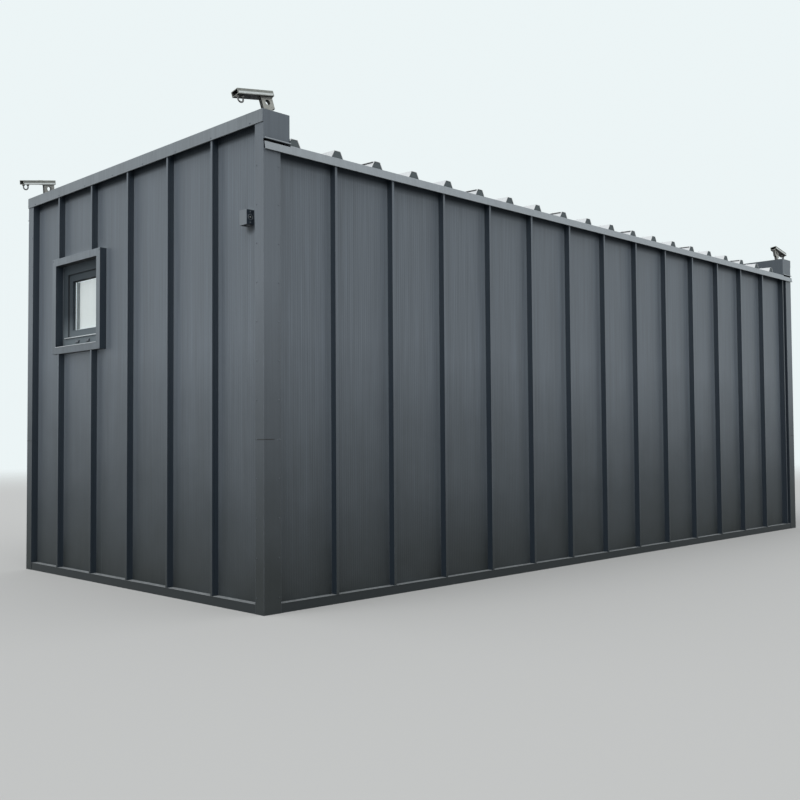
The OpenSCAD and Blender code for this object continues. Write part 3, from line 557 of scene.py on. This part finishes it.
# %% [markdown]
# ## Glass
# The window has a clear outer pane and an opal inner pane. Clear glass is a shader with
# full transmission and hardly any roughness, and a thin film of dried rain makes it less
# perfect. The opal pane scatters light, so it is a pale, slightly cloudy plastic finish.
# The opal pane and the spacer bar glow faintly: painted light that stands for daylight from the room.

# %% The two panes
material, tree, shader, point = start_material("window_glass", 0.02)
set_on(shader, {"Transmission Weight": 1.0, "IOR": 1.46})
film = noise(stretch(point, (1.0, 1.0, 0.25)), 38.0, 4.0, 0.6)
feed(shader.inputs, {"Base Color": blend(film, (1.0, 1.0, 1.0, 1), (0.93, 0.96, 0.96, 1)),
                     "Roughness": spread(film, 0.35, 0.8, 0.01, 0.12)})
grained("frosted_pane", (0.95, 0.965, 0.955), 0.55, 500.0, 0.04, 0.0001, 0.0, 0.0, hollow=0.0)
# A faint glow: painted light on the opal pane and the spacer bar.
for finish, glow in (("frosted_pane", 0.10), ("spacer_bar", 0.24)):
    shader = finishes[finish].node_tree.nodes["Principled BSDF"]
    set_on(shader, {"Emission Color": (0.92, 0.99, 1.0, 1), "Emission Strength": glow})
    print(finish, "glows with", glow)

# %% [markdown]
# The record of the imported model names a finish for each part. Seven parts get one of their
# own instead, because they are lit or soiled in another way than the rest of their kind.

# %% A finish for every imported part
own_finish = {"lashing_lugs": "lug_zinc", "base_flashing": "base_steel", "window_surround": "surround_steel",
              "left_parapet_cap": "cap_steel", "right_parapet_cap": "cap_steel",
              "left_parapet_sides": "parapet_steel", "right_parapet_sides": "parapet_steel"}
for part in frame["record"]["subparts"]:
    slots = nodes[part["node"]].data.materials
    finish = finishes[own_finish.get(part["node"], part["material_slot"])]
    if len(slots):
        slots[0] = finish
    else:
        slots.append(finish)

# %% [markdown]
# ## Screws and rivets
# A cabin has hundreds of fixings, all alike. Geometry Nodes suit that: the tree takes a
# cloud of points with a direction each, puts one screw on every point, turns it a little
# at random, makes it real mesh and gives it its finish. Sizes are inputs of the tree, so
# the same tree makes big roof screws with washers and small painted rivets.

# %% The tree that sets fixings
def new_tree(name, inputs):
    tree = bpy.data.node_groups.new(name, "GeometryNodeTree")
    tree.interface.new_socket(name="Geometry", in_out="INPUT", socket_type="NodeSocketGeometry")
    for title, kind, value in inputs:
        socket = tree.interface.new_socket(name=title, in_out="INPUT", socket_type="NodeSocket" + kind)
        if value is not None:
            socket.default_value = value
    tree.interface.new_socket(name="Geometry", in_out="OUTPUT", socket_type="NodeSocketGeometry")
    return tree, tree.nodes.new("NodeGroupInput").outputs, tree.nodes.new("NodeGroupOutput").inputs

def close_tree(tree, geometry, material, result):
    solid = add("GeometryNodeRealizeInstances", {"Geometry": geometry}).outputs[0]
    dressed = add("GeometryNodeSetMaterial", {"Geometry": solid, "Material": material}).outputs[0]
    tree.links.new(dressed, result)
    print("tree", tree.name, "has", len(tree.nodes), "nodes")

def tapered_disc(sides, radius, height, taper):
    return add("GeometryNodeMeshCone", {
        "Vertices": sides, "Radius Top": times(radius, taper), "Radius Bottom": radius,
        "Depth": height}).outputs["Mesh"]

fixings, takes, gives = new_tree(
    "Fixings on points",
    [("Washer radius", "Float", 0.008), ("Washer height", "Float", 0.0015),
     ("Head radius", "Float", 0.0045), ("Head height", "Float", 0.004), ("Sides", "Int", 6),
     ("Seed", "Int", 7), ("Material", "Material", None)])
washer = tapered_disc(16, takes["Washer radius"], takes["Washer height"], 0.8)
head = tapered_disc(takes["Sides"], takes["Head radius"], takes["Head height"], 0.85)
lift = add("ShaderNodeCombineXYZ", {2: takes["Washer height"]}).outputs[0]
raised = add("GeometryNodeTransform", {"Geometry": head, "Translation": lift}).outputs[0]
both = fixings.nodes.new("GeometryNodeJoinGeometry")
for piece in (washer, raised):
    fixings.links.new(piece, both.inputs[0])
points = add("GeometryNodeMeshToPoints", {"Mesh": takes["Geometry"]}).outputs[0]
outwards = put(fixings, "GeometryNodeInputNamedAttribute", {"Name": "outwards"},
               data_type="FLOAT_VECTOR").outputs[0]
turned = add("FunctionNodeAlignRotationToVector", {"Vector": outwards}, axis="Z").outputs[0]
spin = add("FunctionNodeRandomValue", {2: 0.0, 3: 6.28, "Seed": takes["Seed"]}, data_type="FLOAT").outputs[1]
about = add("FunctionNodeAxisAngleToRotation", {"Axis": (0, 0, 1), "Angle": spin}).outputs[0]
pose = add("FunctionNodeRotateRotation", {0: turned, 1: about}, rotation_space="LOCAL").outputs[0]
placed = add("GeometryNodeInstanceOnPoints",
             {"Points": points, "Instance": both.outputs[0], "Rotation": pose}).outputs[0]
close_tree(fixings, placed, takes["Material"], gives[0])

# %% [markdown]
# A tree needs a carrier: a mesh of bare points or edges that the modifier reads. After the
# inputs are set, the evaluated result is copied to a plain mesh and the carrier goes. What
# stays is a plain piece that rides on the cabin.

# %% Run a tree and keep a plain mesh
def add_object(name, data):
    made = bpy.data.objects.new(name, data)
    bpy.context.scene.collection.objects.link(made)
    return made

def add_piece(name, mesh):
    piece = add_object(name, mesh)
    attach(piece, "root")
    print(name, "triangles:", sum(len(p.vertices) - 2 for p in mesh.polygons))

def run_tree(name, tree, carrier, values):
    holder = add_object(name + "_carrier", carrier)
    modifier = holder.modifiers.new("shape", "NODES")
    modifier.node_group = tree
    for item in tree.interface.items_tree:
        if item.in_out == "INPUT" and item.name in values:
            modifier[item.identifier] = values[item.name]
    shaped = holder.evaluated_get(bpy.context.evaluated_depsgraph_get())
    mesh = bpy.data.meshes.new_from_object(shaped)
    holder.modifiers.remove(modifier)
    bpy.data.objects.remove(holder)
    add_piece(name, mesh)

def set_fixings(name, places, material, washer, head, sides=6):
    carrier = bpy.data.meshes.new(name + "_points")
    carrier.from_pydata([place for place, _ in places], [], [])
    directions = carrier.attributes.new("outwards", "FLOAT_VECTOR", "POINT")
    directions.data.foreach_set("vector", [v for _, way in places for v in way])
    run_tree(name, fixings, carrier, {
        "Washer radius": washer[0], "Washer height": washer[1], "Head radius": head[0],
        "Head height": head[1], "Sides": sides, "Material": material})

# %% [markdown]
# The roof screws sit on the crests, above each purlin, because water runs in the flats
# between them. Trims, caps and the window's surround are riveted, with heads in the colour
# of the sheet: every 224 mm up a trim, every 391 mm along a cap, and one at each corner of
# the surround. An opening is four numbers: from `u` to `u`, and from `z` to `z`.

# %% Roof screws and rivets
crest_us = [0.219 + i * 0.336 for i in range(20)]
crest_top = 0.0455
purlins = (0.10, 0.80, 1.50, 2.20, 2.78)
roof_up = Vector((0, -math.sin(roof_tilt), math.cos(roof_tilt)))
roof_places = [(on_roof(u, d, crest_top), roof_up) for u in crest_us for d in purlins]
screw_zinc = zinc_coated("screw_zinc", (0.52, 0.53, 0.54), 0.35, 0.8, 600.0, 0.15, 0.1)
set_fixings("roof_screws", roof_places, screw_zinc,
            washer=(0.0085, 0.002), head=(0.005, 0.005))

rivet_paint = coated_steel("rivet_paint", (0.105, 0.124, 0.148), streak=0.0, waves=0.0, wear_and_highlight=0.3,
                           radius=0.001, hollow=0.0)
window = (0.459, 1.065, 1.678, 2.284)
wall_lengths = {"front": 2 * half_l, "rear": 2 * half_l, "left": 2 * half_w, "right": 2 * half_w}
rivet_line = {"front": 0.108, "rear": 0.108, "left": 0.066, "right": 0.066}
trim_rivet_zs = [0.09 + 0.224 * i for i in range(12)]
cap_rivet_us = [0.12 + 0.3914 * i for i in range(8)]

def rivet_at(wall, u, z, d=-0.0005):
    return on_wall(wall, u, d, z), facing[wall]

rivets = [rivet_at(wall, u, z) for wall, length in wall_lengths.items()
          for z in trim_rivet_zs for u in (rivet_line[wall], length - rivet_line[wall])]
rivets += [rivet_at(wall, u, top_z - 0.062, -0.0065) for wall in ("left", "right") for u in cap_rivet_us]

def shrink(opening, by):
    u0, u1, z0, z1 = opening
    return u0 + by, u1 - by, z0 + by, z1 - by

corners = shrink(window, -0.040)
rivets += [rivet_at("left", u, z) for u in corners[:2] for z in corners[2:]]
set_fixings("trim_rivets", rivets, rivet_paint,
            washer=(0.0052, 0.0010), head=(0.0034, 0.0012), sides=12)

# %% [markdown]
# ## Parts that follow a path
# Long thin parts follow a path: the rubber round the glass, the lap where one roof panel
# covers the next, the weld bead between lug and tube. One tree draws a flat or a round
# section along the edges of a carrier mesh. The normal of the path decides which way the
# section's width lies, so it is an input too.

# %% The tree that draws sections along paths
drawn, takes, gives = new_tree(
    "Section along a path",
    [("Width", "Float", 0.006), ("Height", "Float", 0.004), ("Facing", "Vector", (0, 0, 1)),
     ("Round", "Bool", False), ("Material", "Material", None)])
path = add("GeometryNodeMeshToCurve", {"Mesh": takes["Geometry"]}).outputs[0]
path = add("GeometryNodeSetCurveNormal", {"Curve": path, "Normal": takes["Facing"]}, mode="FREE").outputs[0]
flat_bar = add("GeometryNodeCurvePrimitiveQuadrilateral",
               {"Width": takes["Width"], "Height": takes["Height"]}).outputs[0]
round_bar = add("GeometryNodeCurvePrimitiveCircle",
                {"Resolution": 8, "Radius": times(takes["Width"], 0.5)}).outputs[0]
section = add("GeometryNodeSwitch", {"Switch": takes["Round"], "False": flat_bar, "True": round_bar},
              input_type="GEOMETRY").outputs[0]
bar = add("GeometryNodeCurveToMesh", {"Curve": path, "Profile Curve": section, "Fill Caps": True}).outputs[0]
sharp = add("GeometryNodeSetShadeSmooth", {"Geometry": bar, "Shade Smooth": takes["Round"]}).outputs[0]
close_tree(drawn, sharp, takes["Material"], gives[0])

# %% [markdown]
# Every part of this kind is one call: its paths, its slot and finish, the size of its
# section and the way that its width faces. A path of two points is a line, and a longer one
# is closed to a loop.

# %% Draw sections and lay paths
ACROSS_ENDS, ACROSS_SIDES, UPWARDS = (1, 0, 0), (0, 1, 0), (0, 0, 1)

def draw_along(name, paths, material, size, faces, round_section=False):
    points, joins = [], []
    for path in paths:
        first = len(points)
        points.extend(path)
        joins.extend((first + i, first + i + 1) for i in range(len(path) - 1))
        if len(path) > 2:
            joins.append((len(points) - 1, first))
    carrier = bpy.data.meshes.new(name + "_paths")
    carrier.from_pydata(points, joins, [])
    run_tree(name, drawn, carrier, {"Width": size[0], "Height": size[1], "Facing": faces,
                                    "Round": round_section, "Material": material})

def line_on(wall, u0, u1, d, z):
    return [on_wall(wall, u, d, z) for u in (u0, u1)]

def loop_on(wall, opening, d):
    u0, u1, z0, z1 = opening
    return [on_wall(wall, u, d, z) for u, z in ((u0, z0), (u1, z0), (u1, z1), (u0, z1))]

# %% [markdown]
# Black rubber seals the glass in its sash and the sash in its frame. A wider black strip along
# the top of the glass is painted shade. On the roof, each panel covers three crests, and a black
# strip along the flank where the next panel begins is the painted shadow of the lap.

# %% Rubber seals
rubber = grained("black_rubber", (0.018, 0.018, 0.019), 0.6, 700.0, 0.2, 0.0004, 0.25, 0.0)
glass_d, sash_d = 0.0955, 0.073
sight, sash = shrink(window, 0.120), shrink(window, 0.068)
draw_along("glass_gasket", [loop_on("left", shrink(sight, -0.001), glass_d)],
           rubber, (0.006, 0.005), ACROSS_ENDS)
draw_along("sash_gasket", [loop_on("left", shrink(sash, 0.001), sash_d)],
           rubber, (0.008, 0.003), ACROSS_ENDS)
# The wider black strip at the top of the glass is painted shade.
draw_along("glass_top_shadow", [line_on("left", sight[0], sight[1], glass_d, sight[3] - 0.003)],
           rubber, (0.011, 0.005), ACROSS_ENDS)

crest_flank, lap_height, short_of_wall = 0.0315, 0.0366, 0.13
lap_paths = [[on_roof(u - crest_flank, d, lap_height) for d in (0.0, 2 * half_w - short_of_wall)]
             for u in crest_us[2::3]]
# The black strip along each lap is the painted shadow of the lap's edge.
draw_along("roof_lap_shadows", lap_paths, rubber, (0.0035, 0.007), (-0.87, 0, 0.49))

# %% [markdown]
# ## Small parts round the window
# A rain bar of plain aluminium hangs below the sash. A bright strip along the sill of the
# surround is a painted highlight, and a grey strip down each side of the opal pane is the painted
# shade of the spacer. They are narrow, but they draw the light and grey lines that make a window
# look built.

# %% Rain bar, sill edge and pane beads
bar_metal = zinc_coated("bar_aluminium", (0.62, 0.65, 0.67), 0.4, 0.5, 700.0, 0.08, 0.1)
pane_shade_grey = grained("pane_shade_grey", (0.34, 0.37, 0.38), 0.6, 500.0, 0.1, 0.0002, 0.0, 0.0, hollow=0.0)
bar_z, bar_d, bar_overhang = sash[2] - 0.002, 0.057, 0.034
rain_bar = line_on("left", sash[0] - bar_overhang, sash[1] + bar_overhang, bar_d, bar_z)
draw_along("window_rain_bar", [rain_bar], bar_metal, (0.007, 0.010), UPWARDS)
sill_z, sill_d = window[2] - 0.0015, -0.0012
# A bright strip on the sill: painted highlight.
sill_highlight = line_on("left", window[0], window[1], sill_d, sill_z)
draw_along("window_sill_highlight", [sill_highlight], bar_metal, (0.004, 0.0024), UPWARDS)
pane_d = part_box("window_inner_pane")[0].x - 0.0006 + half_l
# Grey strips down the sides of the opal pane: painted shade of the spacer.
side_shades = [[on_wall("left", u, pane_d, z) for z in sight[2:]] for u in shrink(sight, 0.027)[:2]]
draw_along("pane_side_shades", side_shades, pane_shade_grey, (0.050, 0.001), ACROSS_ENDS)

# %% [markdown]
# The slots in the window frame let rainwater out, and each one has a small hood over it.
# The hood is a box with a sloping top. Mesh code builds it as a prism: the outline of one
# end, the outline of the other, and the faces between them.

# %% Drain hoods
def build_prisms(name, prisms, material):
    points, faces = [], []
    for start, end in prisms:
        first, n = len(points), len(start)
        points.extend([*start, *end])
        faces.append(tuple(range(first + n - 1, first - 1, -1)))
        faces.append(tuple(range(first + n, first + 2 * n)))
        for i in range(n):
            after = (i + 1) % n
            faces.append((first + i, first + after, first + n + after, first + n + i))
    mesh = bpy.data.meshes.new(name)
    mesh.from_pydata(points, [], faces)
    mesh.materials.append(material)
    add_piece(name, mesh)

hood_w, hood_h, hood_out, hood_z, frame_d = 0.046, 0.020, 0.011, 1.712, 0.0615
section = ((frame_d, -hood_h / 2), (frame_d - hood_out, -hood_h / 2), (frame_d - hood_out, 0.0),
           (frame_d, hood_h / 2))
hoods = [[[on_wall("left", u + side * hood_w / 2, d, hood_z + z) for d, z in section]
          for side in (-1, 1)] for u in (0.6845, 0.8395)]
hood_plastic = grained("hood_plastic", (0.125, 0.142, 0.160), 0.5, 700.0, 0.1, wear_and_highlight=0.6)
build_prisms("drain_hoods", hoods, hood_plastic)

# %% [markdown]
# ## Lips and laps of the flashings
# The drip lips below the parapet sides are narrow folds; a thin bright strip along each is a
# painted highlight where they catch the sky. Each corner trim is made in two lengths, and where
# the upper one laps over the lower, a thin dark line is its painted shadow.

# %% Drip lips and trim laps
def end_lines(wall, near, far, d, z):
    length = wall_lengths[wall]
    return [line_on(wall, u0, u1, d, z) for u0, u1 in ((near, far), (length - far, length - near))]

lip_from, lip_to, lip_d, lip_z = 0.001, 0.192, -0.0118, eaves_z + 0.0115
lip_paths = [line for wall in ("front", "rear") for line in end_lines(wall, lip_from, lip_to, lip_d, lip_z)]
# A bright strip under each parapet side: painted highlight.
draw_along("parapet_lip_highlights", lip_paths, finishes["eaves_steel"], (0.006, 0.0016), UPWARDS)

lap_d, lap_z = -0.0002, 0.9855
trim_face = {"front": 0.075, "rear": 0.075, "left": 0.078, "right": 0.078}
trim_laps = [line for wall, face in trim_face.items() for line in end_lines(wall, 0.0, face, lap_d, lap_z)]
# A thin dark line at each trim lap: painted shadow.
draw_along("trim_lap_shadows", trim_laps, rubber, (0.0045, 0.0010), UPWARDS)

# %% [markdown]
# ## Brackets
# The brackets are welded: a bead runs round the foot of the tube where the lug meets it, a
# collar round each leg of the eye, and the tube shows a joint. A bright band along each side of
# the tube is a painted highlight. A rubber collar seals the stem where it passes the cap.
# Everything is placed in the bracket's own frame, which is tilted towards the end and leans
# inwards, as in the imported model.

# %% Bracket places
bracket_tilt, bracket_lean = math.radians(10), math.radians(11)
lug_x, lug_y = half_l - 0.121, half_w - 0.093
tube_low, tube_high, tube_half_w = 0.115, 0.148, 0.0315

def on_bracket(side_x, side_y, x, y, z):
    leaned = Matrix.Rotation(side_y * bracket_lean, 4, "X") @ Vector((x, y, z))
    tilted = Matrix.Rotation(-bracket_tilt, 4, "Y") @ leaned
    return Vector((side_x * (lug_x - tilted.x), side_y * lug_y + tilted.y, top_z + tilted.z))

def on_all_brackets(path):
    return [[on_bracket(sx, sy, *place) for place in path] for sx in (-1, 1) for sy in (-1, 1)]

def rectangle(half_x, half_y, z):
    return [(-half_x, -half_y, z), (half_x, -half_y, z), (half_x, half_y, z), (-half_x, half_y, z)]

def circle(radius, steps, upright=False):
    turns = [2 * math.pi * i / steps for i in range(steps)]
    flat = [(radius * math.cos(t), radius * math.sin(t)) for t in turns]
    return [Vector((a, 0, b) if upright else (a, b, 0)) for a, b in flat]

def draw_welds(name, paths, material, size):
    draw_along(name, paths, material, size, UPWARDS, round_section=True)

# %% Welds and collars
weld_metal = zinc_coated("weld_zinc", (0.34, 0.34, 0.32), 0.55, crystals=240.0)
draw_welds("bracket_weld_beads", on_all_brackets(rectangle(0.0425, 0.013, tube_low - 0.001)),
           weld_metal, (0.007, 0.007))
eye_legs = [Vector((x, 0.0, tube_low - 0.004)) for x in (-0.203, -0.167)]
eye_feet = [ring for leg in eye_legs for ring in on_all_brackets([leg + p for p in circle(0.006, 12)])]
draw_welds("eye_collars", eye_feet, weld_metal, (0.010, 0.010))
draw_welds("stem_collars", on_all_brackets(rectangle(0.0235, 0.0135, 0.003)), rubber,
           (0.010, 0.010))
joint_x = -0.062
joint = [(joint_x, y, z) for y, z in ((-tube_half_w, tube_low), (tube_half_w, tube_low),
                                      (tube_half_w, tube_high), (-tube_half_w, tube_high))]
draw_welds("tube_joints", on_all_brackets(joint), weld_metal, (0.003, 0.0012))

bright_zinc = zinc_coated("bright_zinc", (0.66, 0.68, 0.67), 0.4, 0.4, 300.0, 0.1, 0.0)
# A bright band along the tube's sides: painted highlight.
line_y, line_z = tube_half_w + 0.0003, tube_low + 0.0095
side_highlights = [line for y in (-line_y, line_y)
              for line in on_all_brackets([(-0.210, y, line_z), (0.040, y, line_z)])]
draw_along("tube_side_highlights", side_highlights, bright_zinc, (0.0130, 0.0012), UPWARDS)

# %% [markdown]
# ## The wall lamp
# The lamp is a small box by the corner. Its side has a round cover, held by a ring and a
# screw, with one small plug above it and one below. An opal disc closes it underneath,
# where the light comes out, and only shows from below.

# %% Lamp cover and diffuser
lamp_depth = 0.0235
cover = on_wall("left", 2.8251, lamp_depth, 2.274)
well = on_wall("left", 2.79, lamp_depth, 2.2465)
disc_height = 0.003

def cover_ring(radius, dz=0.0, steps=20):
    return [cover + Vector((0, 0, dz)) + p for p in circle(radius, steps, upright=True)]

draw_along("lamp_cover_rings", [cover_ring(0.016), cover_ring(0.003, 0.031, 8), cover_ring(0.003, -0.031, 8)],
           hood_plastic, (0.0038, 0.0038), ACROSS_SIDES, round_section=True)
draw_along("lamp_cover_screw", [cover_ring(0.0028, 0.0, 8)], weld_metal,
           (0.0050, 0.0030), ACROSS_SIDES, round_section=True)
disc = [[well + Vector((0, 0, dz)) + p for p in circle(0.0182, 24)] for dz in (0.0, disc_height)]
build_prisms("lamp_diffuser", [disc], finishes["frosted_pane"])

# %% [markdown]
# ## Round the door
# The door leaf closes against a rubber seal, and a strip of aluminium covers the bottom
# member of the frame, where feet would wear the paint away.

# %% Door seal and threshold
door = (1.725, 2.565, 0.164, 2.224)
draw_along("door_seal", [loop_on("rear", shrink(door, 0.0475), 0.0690)],
           rubber, (0.005, 0.005), ACROSS_SIDES)
step_z, step_d, step_gap = door[2] + 0.025, 0.0608, 0.006
threshold = line_on("rear", door[0] + step_gap, door[1] - step_gap, step_d, step_z)
draw_along("door_threshold", [threshold], bar_metal, (0.040, 0.0024), UPWARDS)

# %% [markdown]
# ## Stage, light and camera
# The stage is plain, so that nothing competes with the cabin: a pale floor that fades into
# the backdrop. A mix with a transparent shader, by distance, hides where the floor ends.

# %% Floor
reach = 45.0
floor_mesh = bpy.data.meshes.new("floor")
floor_mesh.from_pydata(rectangle(reach, reach, 0), [], [(0, 1, 2, 3)])
floor = add_object("floor", floor_mesh)
material = bpy.data.materials.new("floor_plain")
material.use_nodes = True
tree = material.node_tree
tree.nodes.clear()
point = put(tree, "ShaderNodeTexCoord").outputs["Object"]
fade = spread(vector_calc("LENGTH", point, result="Value"), 11.0, 30.0, smooth=True)
plain = put(tree, "ShaderNodeBsdfDiffuse", {"Color": (0.56, 0.56, 0.55, 1)}).outputs[0]
away = put(tree, "ShaderNodeBsdfTransparent").outputs[0]
surface = add("ShaderNodeMixShader", {0: fade, 1: plain, 2: away}).outputs[0]
add("ShaderNodeOutputMaterial", {"Surface": surface})
floor_mesh.materials.append(material)
print("floor reaches", reach, "m each way")

# %% [markdown]
# The world is even and soft, and one wide soft sun models the near corner a little, as a
# bright overcast sky does. The backdrop that the camera, the gloss and the glass see is
# apart from the light, so that it can be pale without lighting the cabin more.

# %% World and sun
scene = bpy.context.scene
scene.view_settings.view_transform = "Standard"
world = bpy.data.worlds.new("soft_world")
scene.world = world
world.use_nodes = True
tree = world.node_tree
tree.nodes.clear()
rays = put(tree, "ShaderNodeLightPath").outputs
seen = calc("MAXIMUM", rays["Is Camera Ray"], rays["Is Glossy Ray"])
seen = calc("MAXIMUM", seen, rays["Is Transmission Ray"])
light = put(tree, "ShaderNodeBackground", {"Color": (0.95, 0.98, 1.0, 1), "Strength": 0.68}).outputs[0]
backdrop = put(tree, "ShaderNodeBackground", {"Color": (0.84, 0.91, 0.92, 1), "Strength": 1.0}).outputs[0]
both = add("ShaderNodeMixShader", {0: seen, 1: light, 2: backdrop}).outputs[0]
add("ShaderNodeOutputWorld", {"Surface": both})
sun = bpy.data.lights.new("soft_sun", "SUN")
sun.energy, sun.angle = 1.5, math.radians(70)
lamp = add_object("soft_sun", sun)
lamp.rotation_mode = "QUATERNION"
lamp.rotation_quaternion = Vector((0.68, 0.26, -0.83)).to_track_quat("-Z", "Y")
print("sun of", sun.energy, "and", round(math.degrees(sun.angle)), "degrees wide")

# %% [markdown]
# The camera stands off the near corner, a metre above the ground. Its place and lens come
# from the cabin's own edges: with a known pitch of the seams, the lines of the photograph
# fix the camera. The sensor is 36 mm wide and the picture is square, with no shift.

# %% Camera
yaw, pitch, roll = 0.7916, 0.0380, -0.0067
focal_pixels, picture_pixels, sensor = 987.66, 800, 36.0
eye = (-6.963, -5.938, 0.991)
look = Vector((math.cos(pitch) * math.sin(yaw), math.cos(pitch) * math.cos(yaw), math.sin(pitch)))
level = Vector((math.cos(yaw), -math.sin(yaw), 0))
upright = level.cross(look)
right = math.cos(roll) * level + math.sin(roll) * upright
up = math.cos(roll) * upright - math.sin(roll) * level
camera = add_object("camera", bpy.data.cameras.new("camera"))
camera.data.sensor_width = sensor
camera.data.lens = sensor * focal_pixels / picture_pixels
camera.data.clip_end = 200.0
camera.matrix_world = Matrix.Translation(eye) @ Matrix((right, up, -look)).transposed().to_4x4()
scene.camera = camera
print("camera at", [round(v, 3) for v in camera.location], "lens", round(camera.data.lens, 2))
